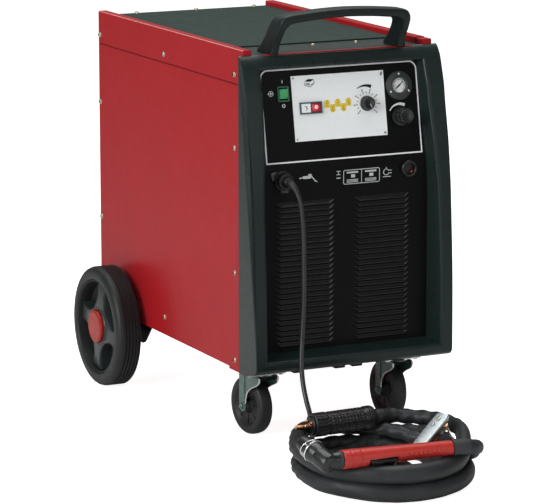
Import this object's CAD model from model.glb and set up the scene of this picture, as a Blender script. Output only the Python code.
"""Visible model of a wheeled plasma cutting unit, with its torch hose and its
return cable lying in front of it.

Pieces are written with y = 0 at the front frame's rear plane and moved by
-0.350 in Y as they are made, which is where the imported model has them.
"""
import math

import bmesh
import bpy
from mathutils import Matrix, Vector, noise


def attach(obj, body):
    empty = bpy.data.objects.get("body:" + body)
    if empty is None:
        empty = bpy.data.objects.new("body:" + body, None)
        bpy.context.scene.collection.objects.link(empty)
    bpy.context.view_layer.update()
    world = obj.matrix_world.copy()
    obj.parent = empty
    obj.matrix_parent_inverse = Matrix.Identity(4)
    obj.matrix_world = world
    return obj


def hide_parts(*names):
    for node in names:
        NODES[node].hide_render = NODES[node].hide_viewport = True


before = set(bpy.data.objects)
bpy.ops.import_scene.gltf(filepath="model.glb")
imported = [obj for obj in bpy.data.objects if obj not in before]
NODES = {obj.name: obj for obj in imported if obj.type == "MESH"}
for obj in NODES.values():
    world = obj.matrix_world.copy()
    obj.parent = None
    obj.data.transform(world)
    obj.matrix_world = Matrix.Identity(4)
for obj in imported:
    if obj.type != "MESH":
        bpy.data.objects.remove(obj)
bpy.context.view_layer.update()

SHIFT = Matrix.Translation((0.0, -0.350, 0.0))
I4 = Matrix.Identity(4)
TILT = math.radians(9.9)
PANEL_Y = -0.0345
CTRL_O = Vector((0.0, -0.0315, 0.582))
UNIT = "unit"

scene = bpy.context.scene

# ---------------------------------------------------------------- camera
cam_data = bpy.data.cameras.new("camera")
cam = bpy.data.objects.new("camera", cam_data)
scene.collection.objects.link(cam)
cam.location = (-2.958, -6.092, 1.667)
cam.rotation_euler = (math.radians(78.75), 0.0, math.radians(-26.2))
cam_data.lens = 205.71
cam_data.sensor_width = 36.0
cam_data.sensor_fit = "HORIZONTAL"
cam_data.clip_start = 0.1
cam_data.clip_end = 100.0
scene.camera = cam
scene.view_settings.view_transform = "Standard"


# ------------------------------------------------------------- materials
def material(name, rgb, rough, metal=0.0, vary=0.10, vary_scale=9.0, fine=0.10, fine_scale=260.0,
             bump=0.12, bump_scale=420.0, bump_depth=0.0004, rough_vary=0.12, coat=0.0, spec=0.5,
             stretch=(1.0, 1.0, 1.0), soil=0.0, soil_rgb=(0.10, 0.09, 0.08), emit=0.0, alpha=1.0,
             transmission=0.0):
    """A surface with large and fine colour variation, uneven gloss and a
    grain in its normal, all from noise in the object's own metres."""
    m = bpy.data.materials.new(name)
    m.use_nodes = True
    nt = m.node_tree
    b = nt.nodes["Principled BSDF"]
    co = nt.nodes.new("ShaderNodeTexCoord")
    mp = nt.nodes.new("ShaderNodeMapping")
    mp.inputs["Scale"].default_value = stretch
    nt.links.new(co.outputs["Object"], mp.inputs["Vector"])

    def noise_node(scale, detail=3.0, rough_=0.55):
        n = nt.nodes.new("ShaderNodeTexNoise")
        n.inputs["Scale"].default_value = scale
        n.inputs["Detail"].default_value = detail
        n.inputs["Roughness"].default_value = rough_
        nt.links.new(mp.outputs["Vector"], n.inputs["Vector"])
        return n

    def mapped(n, lo, hi, a=0.3, z=0.7):
        r = nt.nodes.new("ShaderNodeMapRange")
        r.inputs["From Min"].default_value = a
        r.inputs["From Max"].default_value = z
        r.inputs["To Min"].default_value = lo
        r.inputs["To Max"].default_value = hi
        nt.links.new(n.outputs["Fac"], r.inputs["Value"])
        return r

    broad = mapped(noise_node(vary_scale), 1.0 - vary, 1.0 + vary)
    small = mapped(noise_node(fine_scale, 2.0), 1.0 - fine, 1.0 + fine)
    mul = nt.nodes.new("ShaderNodeMath")
    mul.operation = "MULTIPLY"
    nt.links.new(broad.outputs["Result"], mul.inputs[0])
    nt.links.new(small.outputs["Result"], mul.inputs[1])
    tint = nt.nodes.new("ShaderNodeVectorMath")
    tint.operation = "SCALE"
    tint.inputs[0].default_value = rgb
    nt.links.new(mul.outputs[0], tint.inputs["Scale"])
    colour = tint.outputs["Vector"]
    if soil > 0:
        dirt = mapped(noise_node(14.0, 6.0, 0.7), 0.0, soil, 0.50, 0.72)
        mix = nt.nodes.new("ShaderNodeMix")
        mix.data_type = "RGBA"
        mix.inputs["B"].default_value = (*soil_rgb, 1.0)
        nt.links.new(dirt.outputs["Result"], mix.inputs["Factor"])
        nt.links.new(colour, mix.inputs["A"])
        colour = mix.outputs["Result"]
    nt.links.new(colour, b.inputs["Base Color"])
    rr = mapped(noise_node(vary_scale * 4, 4.0), max(0.02, rough * (1 - rough_vary)), min(1.0, rough * (1 + rough_vary)))
    nt.links.new(rr.outputs["Result"], b.inputs["Roughness"])
    b.inputs["Metallic"].default_value = metal
    b.inputs["Specular IOR Level"].default_value = spec
    b.inputs["Coat Weight"].default_value = coat
    b.inputs["Coat Roughness"].default_value = 0.12
    if bump > 0:
        g = noise_node(bump_scale, 2.0)
        bp = nt.nodes.new("ShaderNodeBump")
        bp.inputs["Strength"].default_value = bump
        bp.inputs["Distance"].default_value = bump_depth
        nt.links.new(g.outputs["Fac"], bp.inputs["Height"])
        nt.links.new(bp.outputs["Normal"], b.inputs["Normal"])
    if emit > 0:
        b.inputs["Emission Color"].default_value = (*rgb, 1.0)
        b.inputs["Emission Strength"].default_value = emit
    b.inputs["Alpha"].default_value = alpha
    b.inputs["Transmission Weight"].default_value = transmission
    return m


RED = material("red_powder_coat", (0.345, 0.010, 0.014), 0.36, vary=0.03, fine=0.03, bump=0.10, bump_scale=700.0,
               bump_depth=0.0002, spec=0.13)
RAIL = material("red_rail_edge", (0.620, 0.200, 0.180), 0.34, vary=0.05, fine=0.05, bump=0.06, spec=0.6)
SEAM = material("panel_seam", (0.130, 0.010, 0.012), 0.6, vary=0.08, spec=0.15)
TOPPAINT = material("grey_powder_coat", (0.015, 0.028, 0.024), 0.45, vary=0.04, fine=0.06, bump=0.15, bump_scale=600.0,
                    bump_depth=0.0003, spec=0.25)
TOPMAT = material("grained_rubber_mat", (0.016, 0.033, 0.028), 0.65, vary=0.05, fine=0.16, fine_scale=420.0, bump=0.45,
                  bump_scale=520.0, bump_depth=0.0010, spec=0.2)
MOULD = material("grained_moulding", (0.011, 0.020, 0.0185), 0.30, vary=0.06, fine=0.06, bump=0.10, bump_scale=900.0,
                 bump_depth=0.0002, spec=0.28)
HANDLE = material("grip_moulding", (0.0085, 0.0150, 0.0140), 0.38, vary=0.06, fine=0.08, bump=0.18, bump_scale=900.0,
                  bump_depth=0.0003, spec=0.24)
PANEL = material("black_panel_paint", (0.0020, 0.0023, 0.0023), 0.36, vary=0.10, fine=0.10, bump=0.10, bump_scale=700.0,
                 bump_depth=0.0002, spec=0.12)
SLAT = material("black_louvre_paint", (0.0022, 0.0026, 0.0028), 0.22, vary=0.10, fine=0.10, bump=0.06, spec=0.55)
HOLLOW = material("dark_inside", (0.0035, 0.0035, 0.0036), 0.8, vary=0.15, spec=0.1)
PRINT = material("white_print", (0.90, 0.92, 0.91), 0.5, vary=0.02, fine=0.03, bump=0.04, spec=0.3)
PLATE = material("white_plate", (0.93, 0.965, 0.965), 0.42, vary=0.02, fine=0.02, bump=0.04, bump_scale=900.0, spec=0.4)
INK = material("dark_print", (0.006, 0.007, 0.008), 0.5, vary=0.05, spec=0.3)
PRINT2 = material("grey_white_print", (0.56, 0.59, 0.58), 0.5, vary=0.03, fine=0.03, bump=0.04, spec=0.3)
INKY = material("olive_print", (0.26, 0.19, 0.03), 0.5, vary=0.05, spec=0.3)
YELLOW = material("yellow_print", (0.82, 0.62, 0.06), 0.45, vary=0.04, spec=0.3)
GREENP = material("green_rocker", (0.040, 0.360, 0.125), 0.28, vary=0.05, fine=0.04, bump=0.03, spec=0.5, coat=0.3)
GREENB = material("green_bezel", (0.040, 0.150, 0.085), 0.38, vary=0.06, fine=0.05, bump=0.05, spec=0.5)
BUTTON = material("red_button", (0.52, 0.020, 0.035), 0.22, vary=0.05, bump=0.02, coat=0.4)
GLOW = material("button_light", (0.95, 0.45, 0.45), 0.25, vary=0.03, bump=0.0, emit=0.35)
BEZEL = material("slate_bezel", (0.050, 0.085, 0.095), 0.4, vary=0.06, bump=0.06)
PLASTIC = material("black_plastic", (0.0050, 0.0052, 0.0056), 0.34, vary=0.12, fine=0.10, bump=0.12, bump_scale=800.0,
                   bump_depth=0.0002, spec=0.45)
KNOB = material("knob_plastic", (0.0065, 0.0080, 0.0085), 0.28, vary=0.12, fine=0.08, bump=0.06, spec=0.6)
GAUGE = material("grey_gauge_plastic", (0.026, 0.036, 0.035), 0.36, vary=0.06, fine=0.05, bump=0.06, spec=0.5)
DIAL = material("dial_face", (0.92, 0.93, 0.92), 0.5, vary=0.02, fine=0.02, bump=0.02)
ZINC = material("zinc_plate", (0.62, 0.64, 0.64), 0.28, metal=1.0, vary=0.08, vary_scale=30, fine=0.07, bump=0.08,
                bump_scale=300.0, rough_vary=0.30)
GALV = material("galvanised_fork", (0.120, 0.185, 0.165), 0.36, metal=0.6, vary=0.12, vary_scale=60, fine=0.08, bump=0.10,
                bump_scale=220.0, rough_vary=0.30)
BRIGHT = material("bright_steel", (0.82, 0.83, 0.83), 0.18, metal=1.0, vary=0.05, vary_scale=60, fine=0.05, bump=0.05,
                  bump_scale=400.0, rough_vary=0.3)
STEEL = material("brushed_steel", (0.40, 0.43, 0.44), 0.36, metal=0.9, vary=0.10, vary_scale=50, fine=0.08, bump=0.06,
                 bump_scale=300.0, rough_vary=0.3)
NICKEL = material("nickel_screw", (0.47, 0.40, 0.30), 0.30, metal=1.0, vary=0.12, vary_scale=160, fine=0.08, bump=0.08,
                  bump_scale=900.0, rough_vary=0.3)
BRASS = material("brass", (0.70, 0.50, 0.24), 0.26, metal=1.0, vary=0.08, vary_scale=120, fine=0.06, bump=0.06,
                 rough_vary=0.3)
COPPER = material("copper_jaw", (0.66, 0.32, 0.16), 0.28, metal=1.0, vary=0.12, vary_scale=120, fine=0.08, bump=0.10,
                  bump_scale=500.0, rough_vary=0.3)
TYRE = material("tyre_rubber", (0.0085, 0.0095, 0.0100), 0.50, vary=0.14, vary_scale=30, fine=0.10, bump=0.30,
                bump_scale=500.0, bump_depth=0.0004, spec=0.45, soil=0.10, soil_rgb=(0.07, 0.07, 0.068))
RIMP = material("rim_plastic", (0.022, 0.029, 0.029), 0.34, vary=0.08, fine=0.08, bump=0.12, spec=0.5)
BARREL = material("rim_barrel", (0.010, 0.011, 0.011), 0.50, vary=0.10, fine=0.08, bump=0.10, spec=0.30)
CAPR = material("hub_cap_red", (0.330, 0.018, 0.011), 0.34, vary=0.05, fine=0.04, bump=0.05, spec=0.3)
HOSE = material("hose_cover", (0.0190, 0.0205, 0.0220), 0.50, vary=0.16, vary_scale=26, fine=0.12, fine_scale=380.0,
                bump=0.28, bump_scale=420.0, bump_depth=0.0004, spec=0.4, soil=0.12, soil_rgb=(0.075, 0.075, 0.078))
SLEEVE = material("grey_sleeve", (0.036, 0.039, 0.041), 0.55, vary=0.10, vary_scale=40, fine=0.08, bump=0.18,
                  bump_scale=420.0, spec=0.4)
CABLE = material("cable_jacket", (0.013, 0.013, 0.014), 0.34, vary=0.10, vary_scale=40, fine=0.08, bump=0.10, spec=0.6)
TORCH = material("torch_red", (0.480, 0.026, 0.018), 0.36, vary=0.05, fine=0.04, bump=0.08, bump_scale=700.0, spec=0.45)
HEADP = material("torch_head_plastic", (0.0095, 0.0110, 0.0120), 0.30, vary=0.10, fine=0.08, bump=0.08, spec=0.55)
CONN = material("connector_rubber", (0.0095, 0.0095, 0.0098), 0.38, vary=0.12, fine=0.10, bump=0.16, bump_scale=500.0,
                spec=0.5)
IRON = material("core_laminations", (0.16, 0.16, 0.165), 0.45, metal=0.7, vary=0.08, fine=0.2, fine_scale=900.0,
                stretch=(0.05, 1.0, 0.05), bump=0.3, bump_scale=900.0)
WIRE = material("enamelled_wire", (0.42, 0.17, 0.06), 0.3, metal=0.6, vary=0.08, fine=0.25, fine_scale=500.0,
                stretch=(0.05, 0.05, 1.0), bump=0.5, bump_scale=500.0, bump_depth=0.001)
ALU = material("extruded_aluminium", (0.66, 0.67, 0.68), 0.35, metal=1.0, vary=0.05, fine=0.1, fine_scale=600.0,
               stretch=(1.0, 1.0, 0.04), bump=0.2)
BOARD = material("circuit_board", (0.020, 0.140, 0.055), 0.4, vary=0.1, fine=0.3, fine_scale=240.0, bump=0.3)
RUBBER = material("strain_relief", (0.014, 0.014, 0.015), 0.5, vary=0.10, bump=0.12)
PINK = material("sheet_edge_red", (0.52, 0.06, 0.06), 0.35, vary=0.04, bump=0.04)


def glass_material():
    m = material("clear_lens", (0.95, 0.97, 0.97), 0.04, vary=0.01, fine=0.01, bump=0.01, alpha=0.07, spec=0.6)
    return m


GLASS = glass_material()


# --------------------------------------------------------------- helpers
def mat4(origin, x, y, z):
    m = Matrix.Identity(4)
    for i, v in enumerate((x, y, z)):
        for j in range(3):
            m[j][i] = v[j]
    for j in range(3):
        m[j][3] = origin[j]
    return m


def facing(x, y, z):
    """Local X right, Y up, Z out of the front."""
    return mat4((x, y, z), (1, 0, 0), (0, 0, 1), (0, -1, 0))


EX = Vector((1, 0, 0))
ES = Vector((0, math.sin(TILT), math.cos(TILT)))
EN = Vector((0, -math.cos(TILT), math.sin(TILT)))


def control(x, s, h=0.0):
    return mat4(CTRL_O + EX * x + ES * s + EN * h, EX, ES, EN)


def sideways(origin, sign):
    z = Vector((sign, 0, 0))
    x = Vector((0, 1, 0))
    return mat4(origin, x, z.cross(x), z)


def along(a, b, up=(0, 0, 1)):
    z = (Vector(b) - Vector(a)).normalized()
    x = Vector(up).cross(z).normalized()
    return mat4(a, x, z.cross(x), z)


YZ = mat4((0, 0, 0), (0, 1, 0), (0, 0, 1), (1, 0, 0))


def from_bm(bm, name, mat, m=I4, smooth=True, sharp=32.0, body=UNIT, gone=(), weighted=False):
    """The bmesh as a piece that rides on a body, baked into row coordinates."""
    bmesh.ops.recalc_face_normals(bm, faces=bm.faces)
    me = bpy.data.meshes.new(name)
    bm.to_mesh(me)
    bm.free()
    return piece(me, name, mat, m, smooth, sharp, body, gone, weighted)


def piece(me, name, mat, m=I4, smooth=True, sharp=32.0, body=UNIT, gone=(), weighted=False):
    me.transform(SHIFT @ m)
    if m.determinant() < 0:
        me.flip_normals()
    me.materials.clear()
    me.materials.append(mat)
    if smooth:
        me.polygons.foreach_set("use_smooth", [True] * len(me.polygons))
        me.set_sharp_from_angle(angle=math.radians(sharp))
    ob = bpy.data.objects.new(name, me)
    scene.collection.objects.link(ob)
    if weighted:
        w = ob.modifiers.new("face weights", "WEIGHTED_NORMAL")
        w.keep_sharp = True
    if body is not None:
        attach(ob, body)
        if gone:
            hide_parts(*gone)
    return ob


def add_spin(bm, profile, n=64, m=I4, radius=None, ring=False):
    """A turned shape. profile is (radius, height) pairs; radius(i, j, r, z)
    may alter the radius for flutes and knurls."""
    rings = []
    for j, (r, z) in enumerate(profile):
        if r < 1e-7:
            rings.append([bm.verts.new(m @ Vector((0, 0, z)))])
            continue
        ring_ = []
        for i in range(n):
            a = 2 * math.pi * i / n
            rr = radius(i, j, r, z) if radius else r
            ring_.append(bm.verts.new(m @ Vector((rr * math.cos(a), rr * math.sin(a), z))))
        rings.append(ring_)
    pairs = list(zip(rings, rings[1:]))
    if ring:
        pairs.append((rings[-1], rings[0]))
    for a, b in pairs:
        if len(a) == 1 and len(b) == 1:
            continue
        for i in range(n):
            k = (i + 1) % n
            if len(a) == 1:
                bm.faces.new((a[0], b[i], b[k]))
            elif len(b) == 1:
                bm.faces.new((a[i], a[k], b[0]))
            else:
                bm.faces.new((a[i], a[k], b[k], b[i]))
    if not ring:
        for r in (rings[0], rings[-1]):
            if len(r) > 1:
                bm.faces.new(r)
    return bm


def add_box(bm, lo, hi, m=I4, r=0.0, seg=2):
    lo, hi = Vector(lo), Vector(hi)
    made = bmesh.ops.create_cube(bm, size=1.0)["verts"]
    bmesh.ops.scale(bm, vec=hi - lo, verts=made)
    bmesh.ops.translate(bm, vec=(lo + hi) / 2, verts=made)
    if r > 0:
        edges = list({e for v in made for e in v.link_edges})
        out = bmesh.ops.bevel(bm, geom=edges, offset=r, segments=seg, affect="EDGES", profile=0.5, clamp_overlap=True)
        made = list({v for f in out["faces"] for v in f.verts} | {v for v in made if v.is_valid})
    bmesh.ops.transform(bm, matrix=m, verts=made)
    return made


def add_loft(bm, rings, closed=False, cap=True):
    """Rings of points, each the same length, joined one to the next."""
    vs = [[bm.verts.new(p) for p in r] for r in rings]
    pairs = list(zip(vs, vs[1:]))
    if closed:
        pairs.append((vs[-1], vs[0]))
    n = len(vs[0])
    for a, b in pairs:
        for i in range(n):
            k = (i + 1) % n
            bm.faces.new((a[i], a[k], b[k], b[i]))
    if cap and not closed:
        bm.faces.new(vs[0][::-1])
        bm.faces.new(vs[-1])
    return vs


def add_sheet(bm, rows):
    """An open grid of points."""
    vs = [[bm.verts.new(p) for p in r] for r in rows]
    for a, b in zip(vs, vs[1:]):
        for i in range(len(a) - 1):
            bm.faces.new((a[i], a[i + 1], b[i + 1], b[i]))
    return vs


def add_outline(bm, outline, h0, h1, m=I4, r=0.0, seg=3):
    """A flat outline in local XY, thickened from h0 to h1, its rims rounded."""
    bot = [bm.verts.new(m @ Vector((a, b, h0))) for a, b in outline]
    top = [bm.verts.new(m @ Vector((a, b, h1))) for a, b in outline]
    n = len(outline)
    f0 = bm.faces.new(bot[::-1])
    f1 = bm.faces.new(top)
    for i in range(n):
        k = (i + 1) % n
        bm.faces.new((bot[i], bot[k], top[k], top[i]))
    if r > 0:
        bmesh.ops.bevel(bm, geom=list(f0.edges) + list(f1.edges), offset=r, segments=seg, affect="EDGES",
                        profile=0.5, clamp_overlap=True)


def spline(knots, step):
    """Points along a centripetal spline through the knots."""
    k = [Vector(p) for p in knots]
    k = [k[0] * 2 - k[1]] + k + [k[-1] * 2 - k[-2]]
    out = []
    for i in range(1, len(k) - 2):
        p0, p1, p2, p3 = k[i - 1:i + 3]
        n = max(1, round((p2 - p1).length / step))
        t1 = math.sqrt((p1 - p0).length)
        t2 = t1 + math.sqrt((p2 - p1).length)
        t3 = t2 + math.sqrt((p3 - p2).length)
        for j in range(n):
            t = t1 + (t2 - t1) * j / n
            a1 = p0 * ((t1 - t) / t1) + p1 * (t / t1)
            a2 = p1 * ((t2 - t) / (t2 - t1)) + p2 * ((t - t1) / (t2 - t1))
            a3 = p2 * ((t3 - t) / (t3 - t2)) + p3 * ((t - t2) / (t3 - t2))
            b1 = a1 * ((t2 - t) / t2) + a2 * (t / t2)
            b2 = a2 * ((t3 - t) / (t3 - t1)) + a3 * ((t - t1) / (t3 - t1))
            out.append(b1 * ((t2 - t) / (t2 - t1)) + b2 * ((t - t1) / (t2 - t1)))
    out.append(k[-2])
    return out


def path_length(pts):
    return sum((b - a).length for a, b in zip(pts, pts[1:]))


def add_tube(bm, pts, radius, sides=20, cap=True, shape=None):
    """A tube along the points with frames carried without twist. radius is a
    number or radius(k); shape(k, a, r) may alter the radius round the section."""
    n = len(pts)
    tang = [(pts[min(i + 1, n - 1)] - pts[max(i - 1, 0)]).normalized() for i in range(n)]
    side = Vector((0, 0, 1)).cross(tang[0])
    if side.length < 0.1:
        side = Vector((1, 0, 0)).cross(tang[0])
    side.normalize()
    rings = []
    for i in range(n):
        side = (side - tang[i] * side.dot(tang[i])).normalized()
        other = tang[i].cross(side)
        r = radius(i) if callable(radius) else radius
        ring = []
        for j in range(sides):
            a = 2 * math.pi * j / sides
            rr = shape(i, a, r) if shape else r
            ring.append(pts[i] + side * (rr * math.cos(a)) + other * (rr * math.sin(a)))
        rings.append(ring)
    return add_loft(bm, rings, cap=cap)


def smoothstep(a, b, x):
    t = min(1.0, max(0.0, (x - a) / (b - a)))
    return t * t * (3 - 2 * t)


def lerp_table(table, z):
    if z <= table[0][0]:
        return table[0][1]
    for (z0, v0), (z1, v1) in zip(table, table[1:]):
        if z <= z1:
            return v0 + (v1 - v0) * (z - z0) / (z1 - z0)
    return table[-1][1]


def pick(names, mat):
    for n in names:
        o = NODES[n]
        o.data.materials.clear()
        o.data.materials.append(mat)


# ------------------------------------------------------------ torch hose
CC = Vector((-0.099, -0.3735, 0.0))


def at(theta, r, z):
    a = math.radians(theta)
    return (CC.x + r * math.cos(a), CC.y + r * math.sin(a), z)


CON_A = Vector((-0.1780, -0.2330, 0.0880))
CON_B = Vector((-0.0330, -0.2262, 0.0880))
CON_D = (CON_B - CON_A).normalized()
TORCH_L = Vector((-0.2470, -0.4990, 0.0900))
TORCH_R = Vector((-0.0158, -0.5130, 0.0900))
TORCH_D = (TORCH_L - TORCH_R).normalized()

hose_knots = [CON_B + CON_D * 0.0006, CON_B + CON_D * 0.020, (0.0120, -0.2215, 0.0850), (0.0400, -0.2340, 0.0830),
              (0.0640, -0.2580, 0.0830), (0.0800, -0.2910, 0.0840), (0.0860, -0.3320, 0.0850), (0.0810, -0.3740, 0.0850),
              (0.0670, -0.4120, 0.0820), (0.0500, -0.4450, 0.0745)]
# front upper strand, then round the left to the back
hose_knots += [at(-38, 0.1620, 0.0655), at(-52, 0.1630, 0.0590), at(-68, 0.1640, 0.0562), at(-85, 0.1650, 0.0555),
               at(-102, 0.1650, 0.0555), at(-120, 0.1645, 0.0560), at(-140, 0.1635, 0.0575), at(-160, 0.1600, 0.0600),
               at(-180, 0.1600, 0.0650), at(-200, 0.1615, 0.0690), at(-219, 0.1660, 0.0700), at(-233, 0.1780, 0.0705),
               at(-243, 0.1870, 0.0730), at(-254, 0.1930, 0.0725), at(-266, 0.1850, 0.0685), at(-279, 0.1760, 0.0650),
               at(-292, 0.1660, 0.0630), at(-307, 0.1580, 0.0610), at(-322, 0.1520, 0.0550), at(-338, 0.1500, 0.0450),
               at(-355, 0.1580, 0.0340)]
# lower strand, front
hose_knots += [at(-375, 0.1700, 0.0270), at(-395, 0.1690, 0.0220), at(-415, 0.1675, 0.0200), at(-435, 0.1668, 0.0196),
               at(-450, 0.1667, 0.0196), at(-468, 0.1665, 0.0205), at(-485, 0.1655, 0.0235), at(-502, 0.1635, 0.0270),
               at(-520, 0.1600, 0.0265), at(-540, 0.1585, 0.0290), at(-560, 0.1590, 0.0340), at(-580, 0.1580, 0.0390),
               at(-605, 0.1560, 0.0420), at(-630, 0.1560, 0.0410), at(-655, 0.1570, 0.0340), at(-680, 0.1530, 0.0250),
               at(-700, 0.1480, 0.0185), at(-720, 0.1400, 0.0158)]
# last turn, inside the lower strand at the front, then inside at the back
hose_knots += [at(-740, 0.1340, 0.0156), at(-765, 0.1300, 0.0156), at(-790, 0.1285, 0.0156), at(-815, 0.1290, 0.0156),
               at(-840, 0.1340, 0.0156), at(-865, 0.1340, 0.0160), at(-890, 0.1290, 0.0170), at(-915, 0.1270, 0.0180),
               at(-940, 0.1265, 0.0215), at(-965, 0.1260, 0.0255), at(-985, 0.1330, 0.0240), at(-1000, 0.1480, 0.0330),
               at(-1014, 0.1650, 0.0440), at(-1029, 0.1770, 0.0540), at(-1045, 0.1800, 0.0575), at(-1060, 0.1760, 0.0570),
               at(-1075, 0.1740, 0.0530), at(-1088, 0.1780, 0.0505), at(-1100, 0.1800, 0.0560), (0.0560, -0.4720, 0.0725), (0.0500, -0.4950, 0.0795), (0.0345, -0.5095, 0.0850),
               (0.0120, -0.5145, 0.0890), TORCH_R - TORCH_D * 0.0006]
hose_pts = spline(hose_knots, 0.0065)


def hose_radius(i):
    p = hose_pts[i]
    front = smoothstep(-0.36, -0.47, p.y) if p.y > -0.47 else 1.0
    front = smoothstep(0.36, 0.47, -p.y)
    low = 1.0 - smoothstep(0.062, 0.074, p.z)
    inner = smoothstep(0.140, 0.158, math.hypot(p.x - CC.x, p.y - CC.y))
    return 0.0149 + 0.0040 * front * low * inner


def hose_shape(i, a, r):
    """The cover's slack: soft folds and oval bulges where it bends."""
    p = hose_pts[i]
    s = i * 0.0065
    g = 0.0
    if p.y > -0.40:
        back = smoothstep(-0.40, -0.33, p.y)
        g = 0.0012 * back * math.sin(s * 2 * math.pi / 0.034 + 1.2 * math.sin(a * 2))
    w = noise.noise(Vector((s * 22.0, math.cos(a) * 1.2, math.sin(a) * 1.2)))
    w2 = noise.noise(Vector((s * 60.0 + 9, math.cos(a) * 2.4, math.sin(a) * 2.4)))
    return r + g + 0.0007 * w + 0.0003 * w2


bm = bmesh.new()
add_tube(bm, hose_pts, hose_radius, 26, True, hose_shape)
hose = from_bm(bm, "torch_hose", HOSE, sharp=60, gone=("hose_coil", "hose_lead_in", "hose_lead_out"))

# ----------------------------------------------------------- return cable
gland_end = Vector((-0.1435, PANEL_Y - 0.0306, 0.548))
CL_A = Vector((-0.0353, -0.4045, 0.0672))
CL_B = Vector((0.0407, -0.3800, 0.1220))
cable_knots = [gland_end, gland_end + Vector((0, -0.010, 0)), (-0.1400, -0.0830, 0.5400), (-0.1340, -0.0940, 0.5150),
               (-0.1292, -0.0990, 0.4600), (-0.1290, -0.1020, 0.3900), (-0.1300, -0.1040, 0.3100),
               (-0.1360, -0.1090, 0.2400), (-0.1425, -0.1180, 0.1900), (-0.1445, -0.1290, 0.1490),
               (-0.1450, -0.1470, 0.1130), (-0.1425, -0.1560, 0.0910), (-0.1405, -0.1590, 0.0600),
               (-0.1395, -0.1620, 0.0360), (-0.1388, -0.1700, 0.0180), (-0.1386, -0.1840, 0.0080),
               (-0.1400, -0.2030, 0.0056), (-0.1440, -0.2350, 0.0056), (-0.1500, -0.2700, 0.0056),
               (-0.1580, -0.3080, 0.0056), (-0.1630, -0.3420, 0.0056)]
turns = []
CABLE_C = Vector((-0.100, -0.375, 0.0))
stations = [(0.0640, 0.0056), (0.0525, 0.0056), (0.0525, 0.0160), (0.0640, 0.0160), (0.0640, 0.0262), (0.0530, 0.0262)]
for k in range(15, 15 * 6 + 1):
    t = k / 15.0
    whole = int(t)
    r0, z0 = stations[min(whole - 1, 5)]
    r1, z1 = stations[min(whole, 5)]
    f = smoothstep(0.72, 1.0, t - whole)
    a = math.radians(180.0 + (t - 1.0) * 360.0)
    r, z = r0 + (r1 - r0) * f, z0 + (z1 - z0) * f
    turns.append((CABLE_C.x + r * math.cos(a), CABLE_C.y + r * math.sin(a), z))
turns = turns[:15 * 5 - 1]
cable_knots += turns
prev = Vector(turns[-2])
cable_cut = len(cable_knots)
cable_tail = [(-0.1620, -0.4080, 0.0470), (-0.1500, -0.4360, 0.0640), (-0.1290, -0.4520, 0.0760),
              (-0.1040, -0.4540, 0.0790), (-0.0800, -0.4420, 0.0740), (-0.0590, -0.4240, 0.0660),
              (-0.0440, -0.4100, 0.0630), tuple(CL_A + (CL_A - CL_B).normalized() * 0.0030)]
cable_pts = spline([Vector(p) for p in cable_knots] + [Vector(p) for p in cable_tail], 0.008)


def curve_piece(name, pts, radius, mat, gone=()):
    cu = bpy.data.curves.new(name, "CURVE")
    cu.dimensions = "3D"
    cu.bevel_depth = radius
    cu.bevel_resolution = 6
    cu.use_fill_caps = True
    sp = cu.splines.new("POLY")
    sp.points.add(len(pts) - 1)
    for p, q in zip(sp.points, pts):
        p.co = (*(SHIFT @ Vector(q)), 1.0)
    sp.use_smooth = True
    cu.materials.append(mat)
    ob = bpy.data.objects.new(name, cu)
    scene.collection.objects.link(ob)
    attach(ob, UNIT)
    if gone:
        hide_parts(*gone)
    return ob


cable = curve_piece("return_lead", cable_pts, 0.0050, CABLE, ("return_cable", "cable_coil"))

# ------------------------------------------------------------ front frame
FRONT = [(0.172, -0.0828), (0.25, -0.0821), (0.32, -0.0808), (0.38, -0.0782), (0.44, -0.0743), (0.48, -0.0717),
         (0.524, -0.0683), (0.565, -0.0633), (0.606, -0.0578), (0.647, -0.0499), (0.687, -0.0419), (0.728, -0.0350),
         (0.748, -0.0286), (0.768, -0.0225), (0.782, -0.0172), (0.791, -0.0120), (0.797, -0.0065)]
FRONT = [(p.x, p.y) for p in spline([Vector((z, y, 0)) for z, y in FRONT], 0.014)]


def panel_front(z):
    bend = CTRL_O.z + (PANEL_Y - CTRL_O.y) / math.tan(TILT)
    return PANEL_Y if z <= bend else CTRL_O.y + (z - CTRL_O.z) * math.tan(TILT)


def temp(bm, name="temp"):
    bmesh.ops.recalc_face_normals(bm, faces=bm.faces)
    me = bpy.data.meshes.new(name)
    bm.to_mesh(me)
    bm.free()
    ob = bpy.data.objects.new(name, me)
    scene.collection.objects.link(ob)
    return ob


def carved(base, cutters, how="DIFFERENCE"):
    for c in cutters:
        mod = base.modifiers.new("carve", "BOOLEAN")
        mod.operation = how
        mod.solver = "EXACT"
        mod.object = c
    bpy.context.view_layer.update()
    dg = bpy.context.evaluated_depsgraph_get()
    me = bpy.data.meshes.new_from_object(base.evaluated_get(dg))
    for o in [base] + list(cutters):
        bpy.data.objects.remove(o, do_unlink=True)
    bm = bmesh.new()
    bm.from_mesh(me)
    bpy.data.meshes.remove(me)
    return bm


def prism_ob(outline, h0, h1, m=I4):
    bm = bmesh.new()
    add_outline(bm, outline, h0, h1, m)
    return temp(bm)


# half width of the opening, at its mouth and at its back, by height
MOUTH_FRONT = [(0.18, 0.200), (0.50, 0.200), (0.58, 0.195), (0.66, 0.190), (0.75, 0.187), (0.80, 0.187)]
MOUTH_BACK = [(0.18, 0.189), (0.50, 0.189), (0.58, 0.185), (0.66, 0.181), (0.75, 0.1795), (0.80, 0.1795)]


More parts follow.
